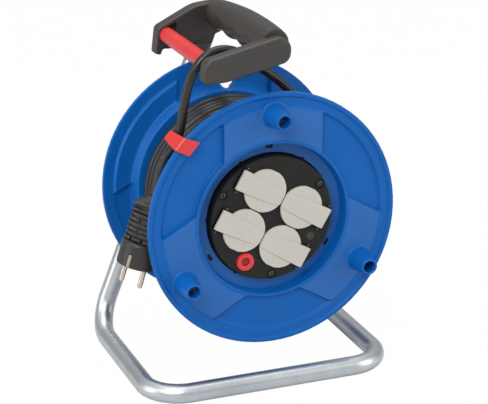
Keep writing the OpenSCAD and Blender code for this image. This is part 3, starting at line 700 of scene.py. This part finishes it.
# The columns follow an arm's straight sides up to this distance outside its edge
COLUMN_MARGIN = 2.4


def flange_columns():
    """Where a flange's columns run: ("arm", offset from its middle line) or ("pocket", share of the way)."""
    at_edge = [ARM_HALF + d for d in (-4, -1.6, -0.7, -0.4, -0.1, 0.2, 0.5, 0.8, 1.6, COLUMN_MARGIN)]
    offsets = [5 * k for k in range(9)] + at_edge
    half = [("arm", d) for d in offsets] + [("pocket", s / 8) for s in range(1, 9)]
    mirrored = [(kind, -v) for kind, v in reversed(half[1:-1])]
    return mirrored + half


def flange_angle(r, kind, value, arm_angle):
    """Front-view angle in degrees of a column at radius r."""
    reach = max(r, 75)
    if kind == "arm":
        turn = math.degrees(math.asin(abs(value) / reach))
    else:
        turn = mix(math.degrees(math.asin((ARM_HALF + COLUMN_MARGIN) / reach)), 60, abs(value))
    return arm_angle + math.copysign(turn, value)


def flange_shell(rows, arm_angles, depth_at):
    """A dished flange of cross-section rows; depth_at turns a depth into y."""
    columns = flange_columns()
    rings = []
    for row in rows:
        r, arm, pocket = row[0], row[1], row[-1]
        ring = []
        for arm_angle in reversed(arm_angles):
            for kind, value in columns:
                sunk = 1 if kind == "pocket" else smooth_step((abs(value) - ARM_HALF + 0.6) / 1.2)
                depth = depth_at(mix(arm, pocket, sunk))
                ring.append(polar(r, flange_angle(r, kind, value, arm_angle), depth))
        rings.append(ring)
    return grid(rings, looped=True)


def boss(angle):
    """A tapered crank boss standing on the front of an arm."""
    tip = BOSS_TIP_Y
    profile = [(5.2, 3.8), (13.6, 3.8), (13.6, 1.35), (12.2, 1), (11.3, 0.3), (10.75, -0.9), (10.5, -2.4),
               (7.95, tip + 1.5), (7.8, tip + 0.8), (7.4, tip + 0.25), (6.9, tip), (5.2, tip)]
    return at(lathe(profile, looped=True, steps=64), polar(BOSS_CIRCLE_R, angle))


def boss_cutter(angle):
    tip = BOSS_TIP_Y
    profile = [(5.1, 9), (5.25, 0), (BOSS_HOLE_R, tip + 0.8), (5.55, tip + 0.35), (6, tip), (6.1, tip - 1)]
    return at(lathe(profile, steps=48), polar(BOSS_CIRCLE_R, angle))


def turned_to(angle, shell):
    """A shell drawn along +x, turned to a front-view angle."""
    return moved(shell, Matrix.Rotation(math.radians(-angle), 4, "Y"))


def front_is_matt(c):
    """Whether the front flange's face centred at c is grained: the cup's floor and the flats of the arms."""
    r = math.hypot(c.x, c.z)
    on_floor = c.y > 12 and FRONT_HOLE_R + 0.4 < r < FRONT_CUP_R - 2
    on_arm = 0.9 < c.y < 1.3 and FRONT_CUP_R + 3.6 < r < FLANGE_R - 14
    return on_floor or on_arm


def front_flange():
    obj = build("flange_front", flange_shell(front_rows(), ARM_ANGLES, lambda depth: depth))
    fuse(obj, *[boss(a) for a in ARM_ANGLES])
    slots = [turned_to(a, block((LATCH_R - 1.7, 10, -3.5), (LATCH_R + 1.7, 18, 3.5))) for a in ARM_ANGLES]
    notches = [at(rod(1.6, 11, 18, steps=20), polar(FRONT_HOLE_R, a)) for a in range(57, 357, 60)]
    cut(obj, *[boss_cutter(a) for a in ARM_ANGLES], *slots, *notches)
    dress(obj, "blue_plastic", "front_flange", "blue_matt")
    for face in obj.data.polygons:
        face.material_index = 1 if front_is_matt(face.center / MM) else 0


def hub():
    """The hollow hub, with a collar that grips the rear flange's web."""
    front, back, r = REAR_LO.y, REAR_HI.y - 1, HUB_R
    web_front, web_back = REAR_WEB_FRONT_Y, REAR_WEB_BACK_Y
    collar = [(r, web_front - 1.4), (r + 0.6, web_front - 0.4), (r + 1.6, web_front - 0.05),
              (r + 2.4, web_front + 0.2), (r + 2.4, web_back - 0.2), (r + 1.4, web_back + 0.1),
              (r + 0.4, web_back + 0.8), (r, web_back + 1.8)]
    profile = ([(r / 2, front), (r - 0.8, front), (r - 0.2, front + 0.2), (r, front + 0.8)] + collar
               + [(r, back - 0.8), (r - 0.2, back - 0.2), (r - 0.8, back), (r / 2, back)])
    return lathe(profile, looped=True)


def rear_flange():
    arm_angles = [a - REAR_TURN for a in ARM_ANGLES]
    obj = build("flange_rear", flange_shell(rear_rows(), arm_angles, lambda depth: REAR_RIM_Y - depth))
    fuse(obj, hub())
    x0, x1, half_t = HUB_R - 0.5, REAR_CUP_R - 0.3, 1
    outline = [(x0, -half_t, 0.3), (x1, -half_t, 0.3), (x1, half_t, 0.3), (x0, half_t, 0.3)]
    rib = slab(outline, REAR_WEB_BACK_Y - 0.8, REAR_WEB_BACK_Y + 6.5, edge=0.3)
    fuse(obj, *[turned_to(a, rib) for a in range(0, 360, 60)])
    hole = rod(REAR_HOLE_R, REAR_WEB_FRONT_Y - 4, REAR_RIM_Y + 4)
    screw_hole = rod(2.1, REAR_WEB_FRONT_Y - 4, REAR_WEB_BACK_Y + 3, steps=24)
    cut(obj, *[at(hole, polar(REAR_HOLE_CIRCLE_R, a - REAR_HOLE_TURN)) for a in ARM_ANGLES],
        *[at(screw_hole, polar(REAR_SCREW_CIRCLE_R, a)) for a in REAR_SCREW_ANGLES])
    dress(obj, "blue_plastic", "rear_flange")


# ---------- socket plate ----------

def each_socket():
    """The letter and the frame of every socket: its centre, with +x towards its own hinge."""
    for letter, side, row in (("a", -1, 1), ("b", 1, 1), ("c", -1, -1), ("d", 1, -1)):
        mirror = Matrix.Scale(side, 4, (1, 0, 0))
        yield letter, PLATE @ Matrix.Translation((side * SOCKET, 0, row * SOCKET)) @ mirror


def in_each_socket(*shells):
    """Copies of shells drawn in a socket's frame, one set in every socket."""
    return [moved(shell, place) for _, place in each_socket() for shell in shells]


def on_plate(shell, point=Vector()):
    return moved(at(shell, point), PLATE)


def at_plate_screws(shell):
    return [on_plate(shell, polar(PLATE_SCREW_R, a)) for a in PLATE_SCREW_ANGLES]


def hinge_ears(face):
    """The two ears that hold a flap's hinge pin, in a socket's frame."""
    outline = [(HINGE_X - 2, HINGE_Y - 1.9, 1.8), (HINGE_X + 2, HINGE_Y - 1.9, 1.8),
               (HINGE_X + 2.1, face + 1, 0.1), (HINGE_X - 2.1, face + 1, 0.1)]
    ear = moved(slab(outline, -0.8, 0.8, edge=0.2), Y_TO_Z.inverted())
    return [at(ear, (0, 0, s * (HINGE_HALF + 1.2))) for s in (-1, 1)]


def socket_holes(floor, back):
    """Cutters for a socket's two pin holes and two earth slots, in its own frame."""
    pin_hole = lathe([(3.3, floor - 1), (3.3, floor), (2.7, floor + 0.6), (2.7, back + 1)], steps=32)
    cutters = []
    for s in (-1, 1):
        cutters.append(at(pin_hole, (s * PIN_PITCH / 2, 0, 0)))
        cutters.append(block((-2.8, floor - 1, s * 18.6 - 0.7), (2.8, back + 1, s * 18.6 + 0.7)))
    return cutters


def socket_plate():
    """Dark plate with four wells, their hinge ears, and raised rings round its screws."""
    face, skirt, floor, back = PLATE_Y, 17.1, 22.6, 25.2
    body = [(12, face + 3), (PLATE_R - 2, face + 3), (PLATE_R - 2, skirt), (PLATE_R, skirt),
            (PLATE_R, face + 0.7), (PLATE_R - 0.2, face + 0.2), (PLATE_R - 0.7, face), (12, face)]
    obj = build("plate", lathe(body, steps=128))
    fuse(obj, *in_each_socket(rod(WELL_R + 1.6, face + 1, back)), overlapping=True)
    half = HINGE_HALF + 2
    fuse(obj, *in_each_socket(block((HINGE_X - 3.4, face + 0.6, -half), (HINGE_X + 3, face + 5.5, half))))
    ring = [(3.55, face + 2), (4.7, face + 2), (4.7, face - 0.4), (4.45, face - 0.8), (3.85, face - 0.8),
            (3.55, face - 0.4)]
    fuse(obj, on_plate(rod(5, face + 1, back)), *at_plate_screws(lathe(ring, looped=True, steps=40)))
    fuse(obj, *at_plate_screws(rod(4, face + 1.5, skirt)))
    fuse(obj, *in_each_socket(*hinge_ears(face)))

    well = [(WELL_R + 0.5, face - 1), (WELL_R + 0.5, face), (WELL_R, face + 0.6), (WELL_R, floor - 0.8),
            (WELL_R - 0.8, floor)]
    cut(obj, *in_each_socket(lathe(well)))
    half = HINGE_HALF + 0.3
    recess = block((HINGE_X - 2.4, face - 1, -half), (HINGE_X + 4.2, face + 3.4, half))
    cut(obj, *in_each_socket(*socket_holes(floor, back)), *in_each_socket(recess))
    screw_hole = lathe([(3.5, face - 1), (3.5, face + 2), (1.8, face + 2), (1.8, skirt + 1)], steps=32)
    cut(obj, on_plate(rod(1.9, back - 14, back + 1, steps=24)), *at_plate_screws(screw_hole))
    cut(obj, on_plate(rod(6.1, face - 1, face + 4), RESET), on_plate(rod(4.05, face - 1, face + 4), BLANK))
    dress(obj, "plate_plastic", "socket_plate")


def bar_front(x):
    """Depth of a flap's raised bar at x: proud at the hinge, sinking to the flap's face at its far end."""
    return mix(0.7, 1.75, min(max((HINGE_X - 4 - x) / 40, 0), 1))


def lid_shells():
    """A flap's disc with four flats, its bar, and the lip that sits in the well."""
    disc = []
    for edge, y in ((0.55, 2.2), (0.2, 2.34), (0, 2.75), (0, 4.3), (0.3, 4.7)):
        flat = LID_R - 0.4 - edge
        disc.append([Vector((max(-flat, min(flat, x)), y, max(-flat, min(flat, z))))
                     for x, z in circle(LID_R - edge, 96)])
    bar = [(-19.2, -7.8, 3.2), (HINGE_X - 2.5, -HINGE_HALF, 2), (HINGE_X + 2.8, -HINGE_HALF, 0.6),
           (HINGE_X + 2.9, HINGE_HALF, 0.6), (HINGE_X - 2.5, HINGE_HALF, 2), (-19.2, 7.8, 3.2)]
    verts, faces = slab(bar, 0, 4.2, edge=0.3, steps=4)
    verts = [Vector((v.x, v.y + bar_front(v.x) if v.y < 1 else v.y, v.z)) for v in verts]
    lip = [(WELL_R - 0.5, 4.2), (WELL_R - 0.5, 6.1), (WELL_R - 0.8, 6.3), (WELL_R - 1.7, 6.3),
           (WELL_R - 2, 6.1), (WELL_R - 2, 4.2)]
    return grid(disc), (verts, faces), lathe(lip, looped=True)


def lid_cutters():
    """The pin's bore, the spring's slot, room to swing behind the hinge, and a small moulding mark."""
    pin = moved(rod(0.95, -16, 16, steps=20), Matrix.Translation((HINGE_X, HINGE_Y, 0)) @ Y_TO_Z)
    spring = block((HINGE_X - 1.95, HINGE_Y, -4.5), (HINGE_X + 1.95, HINGE_Y + 3, 4.5))
    shoulder = block((HINGE_X + 1.6, 3.6, -HINGE_HALF - 1), (HINGE_X + 6, 7, HINGE_HALF + 1))
    gate = at(rod(0.55, -0.4, 1, steps=16), (HINGE_X - 6.5, 0, 1.5))
    return pin, spring, shoulder, gate


def lids():
    """Four sprung flaps, drawn once."""
    disc, bar, lip = lid_shells()
    lid = build("lid", disc)
    fuse(lid, bar)
    fuse(lid, lip)
    for cutter in lid_cutters():
        cut(lid, cutter)
    shell = shell_of(lid)
    for letter, place in each_socket():
        dress(build(f"flap_{letter}", moved(shell, place)), "lid_plastic", f"lid_{letter}")


def reset():
    """Red ring with a sunk push button."""
    y = PLATE_Y
    ring = [(4.35, y + 6.9), (4.35, y + 1.6), (4, y + 1.4), (4, y - 1.2), (4.5, y - 1.75), (5.1, y - 1.9),
            (7.5, y - 1.9), (8, y - 1.75), (8.3, y - 1.2), (8.75, y - 0.05), (6, y - 0.05), (6, y + 6.9)]
    shell = on_plate(lathe(ring, looped=True, steps=64), RESET)
    dress(build("reset_ring", shell), "red_plastic", "reset_bezel")
    cap = [(1.5, y + 0.3), (2.8, y + 0.15), (3.5, y - 0.2), (3.8, y), (3.9, y + 0.4), (3.9, y + 8),
           (5.6, y + 8), (5.6, y + 9.5), (1.5, y + 9.5)]
    dress(build("reset_cap", on_plate(lathe(cap, steps=48), RESET)), "button_plastic", "reset_button")


def blank():
    """Push-in plug closing the spare hole in the plate."""
    y = PLATE_Y
    disc = [(2.2, y + 0.1), (2.6, y + 0.1), (2.8, y - 0.1), (3.3, y - 0.35), (3.8, y - 0.35), (4, y - 0.1),
            (4, y + 3.1), (4.8, y + 3.1), (4.6, y + 4.4), (2.2, y + 4.5)]
    dress(build("blank", on_plate(lathe(disc, steps=40), BLANK)), "grey_plastic", "blank_plug")


# ---------- screws ----------

def cross_recess(r, depth):
    """Cutter for a cross-head recess, opening towards -y at y = 0."""
    arm, half = r * 0.62, r * 0.13
    quarter = [Vector(p) for p in ((arm, -half), (arm, half), (half, half))]
    points = [Matrix.Rotation(k * math.pi / 2, 2) @ p for k in range(4) for p in quarter]
    rows = [[Vector((p.x * s, y, p.y * s)) for p in points] for s, y in ((1.08, -1), (1, 0), (0.55, depth))]
    return grid(rows)


def screw(slot, node, places, head_r, head_t, length, shank_r):
    """Pan-head screws at places (matrices whose +y runs along the shank) as one piece."""
    pitch, core_r = 1.3, shank_r * 0.82
    dome = [(head_r * 0.5, 0), (head_r * 0.8, head_t * 0.1), (head_r * 0.95, head_t * 0.35),
            (head_r, head_t * 0.7), (head_r, head_t)]
    thread = []
    for k in range(int((length - head_t - 1.5) / pitch)):
        y = head_t + 0.8 + pitch * k
        thread += [(core_r, y), (shank_r, y + 0.45), (shank_r, y + 0.6), (core_r, y + 1.05)]
    profile = dome + [(core_r, head_t)] + thread + [(shank_r * 0.8, length - 0.6), (0.3, length)]
    obj = build(f"{node.rstrip('s')}_set", *[moved(lathe(profile, steps=28), m) for m in places])
    cut(obj, *[moved(cross_recess(head_r, head_t * 0.85), m) for m in places])
    dress(obj, slot, node)


def turned_place(point, turn, flipped=False):
    """A matrix at a point whose +y runs back, or forward when flipped, turned about y by some degrees."""
    flip = Matrix.Rotation(math.pi, 4, "X") if flipped else Matrix.Identity(4)
    return Matrix.Translation(point) @ Matrix.Rotation(math.radians(turn), 4, "Y") @ flip


def screws(leg_foot, leg_way, leg_len):
    """Every set of screws; the last three are as long as their CAD boxes are deep."""
    places = [PLATE @ turned_place(polar(PLATE_SCREW_R, a, PLATE_Y - 0.1), 20 + 40 * i)
              for i, a in enumerate(PLATE_SCREW_ANGLES)]
    screw("black_hardware", "plate_screws", places, 3.3, 2, 25.2, 1.6)
    places = [turned_place(polar(REAR_SCREW_CIRCLE_R, a, REAR_WEB_BACK_Y + 2.4), 25 * i, flipped=True)
              for i, a in enumerate(REAR_SCREW_ANGLES)]
    screw("zinc_hardware", "flange_screws", places, 3.8, 2.35, 22.4, 1.9)

    spot = leg_foot + leg_way * (leg_len - 23)
    upright = Matrix.Identity(4)
    for node, base, points, turn, head_r, head_t, shank_r in (
        ("handle_screw", upright, [(spot.x, spot.z)], 15, 3.6, 2, 1.9),
        ("cover_screw", upright, [(0, 0)], 30, 3.8, 2.35, 1.85),
        ("cord_grip_screws", PLATE, [(32, -19), (32, -1)], 10, 3, 2.1, 1.6),
    ):
        lo, hi = corners(node)
        places = [base @ turned_place(Vector((x, hi.y, z)), turn, flipped=True) for x, z in points]
        screw("zinc_hardware", node, places, head_r, head_t, hi.y - lo.y, shank_r)


# ---------- cable ----------

def coil(r, y0, y1, turns, phase, sway):
    """Path of one layer of turns; neighbours sway together, each a little differently."""
    path = []
    per_turn = 72
    for k in range(turns * per_turn + 1):
        a = TAU * k / per_turn + phase
        along = mix(y0, y1, k / (turns * per_turn))
        y = along + sway * (math.sin(2.21 * a) + 0.5 * math.sin(3.3 * a + 1))
        lift = 0.35 * math.sin(1.37 * a) + 0.25 * math.sin(2.71 * a + 2)
        path.append(Vector(((r + lift) * math.cos(a), y, (r + lift) * math.sin(a))))
    return path


def winding():
    """Two layers of cable on the drum; the upper one starts further forward, over the front flange's cup."""
    outer_r = WINDING_HI.x - CABLE_R
    back_y = WINDING_HI.y - CABLE_R - 0.4
    under = coil(outer_r - 7.4, 17 + CABLE_R, back_y, 12, 0.4, 0.25)
    over = coil(outer_r, 9.3 + CABLE_R, back_y, 13, 2.1, 0.45)
    obj = build("cable_turns", cord(under, steps=12), cord(over, steps=16))
    dress(obj, "cable_rubber", "cable_winding")


def lead():
    """The parked end of the cable: off the winding, over the roller and down through the clip to the plug."""
    axis = Vector((math.sin(PLUG_LEAN), 0, math.cos(PLUG_LEAN)))
    points = [Vector(p) for p in (
        (68.8, 34, 60.3), (54, 34, 78.5), (38.5, 33, 98), (25.5, 31, 112.5), (14, 29, 123.5), (-2, 26.5, 136),
        (-18, 24, 148.5), (-33, 22.5, 156.5), (-47, 22, 157.5), (-58.8, 22, 152), (-67.6, 22.5, 141),
        (-73.2, 23.5, 126), (-77, 24.5, 108), (-79.6, 25.5, 90.6))]
    points += [polar(112.5, CLIP_ANGLE, 26), Vector((-92.5, 27.5, 63)), Vector((-97.5, 29, 50))]
    points += [PLUG_FOOT + axis * (PLUG_LEN + d) for d in (11, 0, -9)]
    obj = build("cable_lead_end", cord(spline(points, 8), steps=24))
    dress(obj, "cable_rubber", "cable_lead")


def tail():
    """Inner end of the cable, from the barrel wall to the cord grip."""
    grip_y, z = 50, -10
    points = [Vector(p) for p in (
        (67.6, 72, z), (59, 72, z), (51, 64, z), (45, grip_y + 4, z), (37, grip_y, z), (24, grip_y, z),
        (15, grip_y - 2.5, z), (11.5, grip_y - 7.5, z))]
    obj = build("cable_tail_end", moved(cord(spline(points, 6), steps=20), PLATE))
    dress(obj, "cable_rubber", "cable_tail")


def clip_width(p):
    """Middle and half width of the clip's band at a point: narrower at the back, its front leaf slanted."""
    if p.y < 0:
        lean = min(max((FLANGE_R + 2.2 - p.x) / 12.4, 0), 1)
        return mix(-2.3, -6.6, lean), mix(6.9, 7.7, lean)
    t = smooth_step(p.y / 32)
    return mix(-2.3, -2, t), mix(6.9, 4.8, t)


def clip():
    """Springy red band folded over the front rim and round the lead."""
    out, face, back, half_t = FLANGE_R + 2.2, -1.4, 32, 1
    path = bent([(Vector((FLANGE_R - 11.6, face, 0)), 0), (Vector((out, face, 0)), 2.2),
                 (Vector((out, back, 0)), 2.6), (Vector((FLANGE_R - 11, back, 0)), 0)], step=15)
    width_way = Vector((0, 0, 1))
    rows = []
    for i, p in enumerate(path):
        along = (path[min(i + 1, len(path) - 1)] - path[max(i - 1, 0)]).normalized()
        middle, half_w = clip_width(p)
        lo, hi = middle - half_w, middle + half_w
        outline = rounded([(-half_t, lo, 0.6), (half_t, lo, 0.6), (half_t, hi, 0.6), (-half_t, hi, 0.6)], 3)
        rows.append([p + along.cross(width_way) * q.x + width_way * q.y for q in outline])
    dress(build("clip_band", turned_to(CLIP_ANGLE, grid(rows))), "red_plastic", "cable_clip")


# ---------- plug ----------

def on_plug(*shells):
    return [moved(shell, PLUG) for shell in shells]


def up_plug(shell):
    """A shell drawn about the y axis, stood up along the plug's z axis."""
    return moved(shell, Y_TO_Z)


def squircle(a, b, z, power=3.2):
    """A rounded-rectangle ring at height z."""
    def bulged(value):
        return math.copysign(abs(value) ** (2 / power), value)
    return [Vector((bulged(x) * a, bulged(y) * b, z)) for x, y in circle(1, 64)]


def plug_grip_rows():
    """Flat ribbed grip rising from the cup to the block under the cable."""
    rows = [squircle(15.8, 13, 21.5), squircle(14.4, 10.8, 23.2)]
    ribs, z0, z1 = 6, 23.6, 49.8
    for k in range(ribs):
        for share, rise in ((0, -0.9), (0.05, 0.9), (0.14, 1.4), (0.6, 1.4), (0.72, 0.8), (0.76, -0.9)):
            t = (k + share) / ribs
            rows.append(squircle(mix(15, 14.8, t) + rise, mix(11.4, 8.6, t) + rise * 0.9, mix(z0, z1, t)))
    return rows + [squircle(14.6, 8.4, z1), squircle(14, 8, 50.4)]


def plug_block_rows():
    """Two thin plates one above the other with a recess between them, under a domed cap."""
    sizes = ((14.4, 8.4, 50), (16.6, 9.6, 50.2), (17.2, 10, 50.6), (17.2, 10, 51.8), (16.6, 9.6, 52.2),
             (14.2, 7.8, 52.4), (14.2, 7.8, 55.9), (16.6, 9.2, 56.1), (17, 9.5, 56.5), (17, 9.5, 57.4),
             (16.2, 9, 58), (13.4, 8.4, 58.6), (12.6, 8.2, 60.6), (11, 7.8, 62.4), (8.6, 7, 63.6))
    return [squircle(w, d, z, 4) for w, d, z in sizes]


def plug_cutters():
    """Bores for the cable and the pins, earth slots, and the notches in the grip's foot and the block."""
    cutters = [up_plug(rod(CABLE_R + 0.1, PLUG_LEN - 10, PLUG_LEN + 2))]
    # Each notch: x from and to, middle and half width in y, z from and to
    notches = ((-1.6, 1.6, 17.9, 0.8, -1, 12.4), (-8.1, -5.5, 13.4, 4, 23.1, 28.4),
               (2.9, 5.5, 13.4, 4, 23.1, 28.4), (-13.6, -5, 8.6, 3.6, 52.8, 55.7),
               (3.4, 7.4, 8.6, 3.6, 53.3, 55.1))
    for s in (-1, 1):
        cutters.append(at(up_plug(rod(2.12, -1, 10.2, steps=32)), (s * PIN_PITCH / 2, 0, 0)))
        for x0, x1, y, half, z0, z1 in notches:
            cutters.append(block((x0, s * y - half, z0), (x1, s * y + half, z1)))
    return cutters


def plug_body():
    """Round cup, ribbed grip, block and cable neck of the plug's moulding."""
    cup = [(14, 0), (17.4, 0), (17.9, 0.25), (18.2, 0.9), (18.2, 20.2), (17.9, 21.6), (16.9, 22.6), (15, 23)]
    neck = [(8.2, 62), (7.9, 63.6), (7.2, 64.4), (6.4, 64.8), (6.4, 65.6), (6.2, 66.6), (5.4, PLUG_LEN)]
    obj = build("plug_moulding", *on_plug(up_plug(lathe(cup, steps=80))))
    for shell in (grid(plug_grip_rows()), grid(plug_block_rows()), up_plug(lathe(neck, steps=48))):
        fuse(obj, *on_plug(shell))
    cut(obj, *on_plug(*plug_cutters()))
    dimples = [at(rod(2.6, -2.6, 2.6, steps=32), (-1.3, s * y, z))
               for s in (-1, 1) for z, y in ((32.6, 12.4), (42.4, 11.6))]
    cut(obj, *on_plug(*dimples))
    dress(obj, "plug_rubber", "plug_body")


def plug_metal():
    """The plug's two round pins and its two earth strips."""
    profile = [(1.2, -19), (1.75, -18.7), (2.2, -17.9), (2.4, -16.8), (2.4, -0.3), (2.1, 0.05), (2.1, 10)]
    pin = up_plug(lathe(profile, steps=32))
    obj = build("pin_pair", *on_plug(*[at(pin, (s * PIN_PITCH / 2, 0, 0)) for s in (-1, 1)]))
    dress(obj, "nickel_brass", "plug_pins")
    outline = [(-1.4, 0.3, 0.4), (1.4, 0.3, 0.4), (1.4, 11.9, 0.4), (-1.4, 11.9, 0.4)]
    strips = [slab(outline, s * 17.7 - 0.5, s * 17.7 + 0.5, edge=0.25) for s in (-1, 1)]
    obj = build("earth_contact_pair", *on_plug(*strips))
    dress(obj, "nickel_brass", "plug_earth_strips")


# ---------- carried-over CAD pieces ----------

# The barrel is seen only through the latch slots. It takes the dark plate finish instead of its own, as
# painted shade that makes the slots read as deep black holes
PAINTED_SHADE_FINISH = {"drum_barrel": "plate_plastic"}


def dress_cad():
    """Every CAD node still showing takes the finish of its own slot, except the barrel, which is painted dark
    as shade.
    """
    slots = {part["node"]: part["material_slot"] for part in frame["record"]["subparts"]}
    for name, obj in frame["nodes"].items():
        if obj.hide_render:
            continue
        obj.data.materials.clear()
        # the barrel's dark finish is painted shade, not its own colour
        obj.data.materials.append(FINISHES[PAINTED_SHADE_FINISH.get(name, slots[name])])


# ---------- studio ----------

WHITE = (1, 1, 1, 1)


def camera():
    """A long lens from the front left, a little above the reel."""
    azimuth, elevation = math.radians(-21.28), math.radians(19.60)
    distance, aim_right, aim_up = 1646, -27.32, 16.36
    back = Vector((math.sin(azimuth) * math.cos(elevation), -math.cos(azimuth) * math.cos(elevation),
                   math.sin(elevation)))
    right = Vector((math.cos(azimuth), math.sin(azimuth), 0))
    up = back.cross(right)
    place = (right * aim_right + up * aim_up + back * distance) * MM
    data = bpy.data.cameras.new("camera")
    data.lens = 133.73
    data.sensor_width = 36
    data.sensor_fit = "HORIZONTAL"
    data.clip_start, data.clip_end = 0.05, 50
    cam = bpy.data.objects.new("camera", data)
    turn = Matrix((right, up, back)).transposed().to_4x4()
    cam.matrix_world = Matrix.Translation(place) @ turn
    bpy.context.scene.collection.objects.link(cam)
    bpy.context.scene.camera = cam


def panel_light(name, place, size, power):
    """A soft light at a place, facing the middle of the reel."""
    data = bpy.data.lights.new(name, "AREA")
    data.shape = "RECTANGLE"
    data.size, data.size_y = size
    data.energy = power
    obj = bpy.data.objects.new(name, data)
    obj.location = place
    obj.rotation_mode = "QUATERNION"
    obj.rotation_quaternion = (Vector(place) - (cad_box[0] + cad_box[1]) / 2).to_track_quat("Z", "Y")
    bpy.context.scene.collection.objects.link(obj)


def surroundings():
    """Plain white to the camera. Reflections and shading get a dimmer band a little above the horizon."""
    world = bpy.data.worlds.new("studio")
    bpy.context.scene.world = world
    world.use_nodes = True
    world.node_tree.nodes.clear()
    t = Tree(world.node_tree)
    way = t.node("ShaderNodeTexCoord").outputs["Generated"]
    height = t.node("ShaderNodeSeparateXYZ", {0: way}).outputs["Z"]
    ramp = t.node("ShaderNodeValToRGB", {"Fac": t.remap(height, -1, 1, 0, 1)})
    stops = ((0, 0.85), (0.42, 0.85), (0.5, 0.72), (0.6, 0.4), (0.78, 0.7), (1, 0.9))
    while len(ramp.color_ramp.elements) < len(stops):
        ramp.color_ramp.elements.new(0.5)
    for element, (place, level) in zip(ramp.color_ramp.elements, stops):
        element.position = place
        element.color = (level, level, level * 1.01, 1)
    around = t.node("ShaderNodeBackground", {"Color": ramp.outputs["Color"], "Strength": 0.75})
    seen = t.node("ShaderNodeBackground", {"Color": WHITE})
    t.node("ShaderNodeOutputWorld", {"Surface": t.for_camera(seen, around)})


def floor():
    """A wide pale floor under the stand, seen as almost plain white."""
    half, thickness = 4000, 10
    plane = build("floor", block((-half, -half, FLOOR_Z - thickness), (half, half, FLOOR_Z)))
    f = Finish("floor")
    f.paint((0.62, 0.62, 0.62, 1), 0.7)
    glow = f.node("ShaderNodeEmission", {"Color": WHITE})
    f.link(f.for_camera(glow, f.shader, 0.985), f.tree.nodes["Material Output"].inputs["Surface"])
    plane.data.materials.append(f.material)


def studio():
    bpy.context.scene.view_settings.view_transform = "Standard"
    floor()
    surroundings()
    panel_light("key", (-1.3, -1.5, 1.7), (1.2, 1.2), 38)
    panel_light("fill", (1.7, -1.3, 0.7), (1.2, 1.6), 16)
    panel_light("top", (0.1, 0.4, 2), (1.6, 1.6), 22)
    panel_light("left", (-1.9, 0.1, 0.5), (0.5, 1.2), 9)


# ---------- the reel ----------

leg = stand()
handle(*leg)
roller()
front_flange()
rear_flange()
socket_plate()
lids()
screws(*leg)
reset()
blank()
winding()
lead()
tail()
clip()
plug_body()
plug_metal()
dress_cad()
studio()
camera()
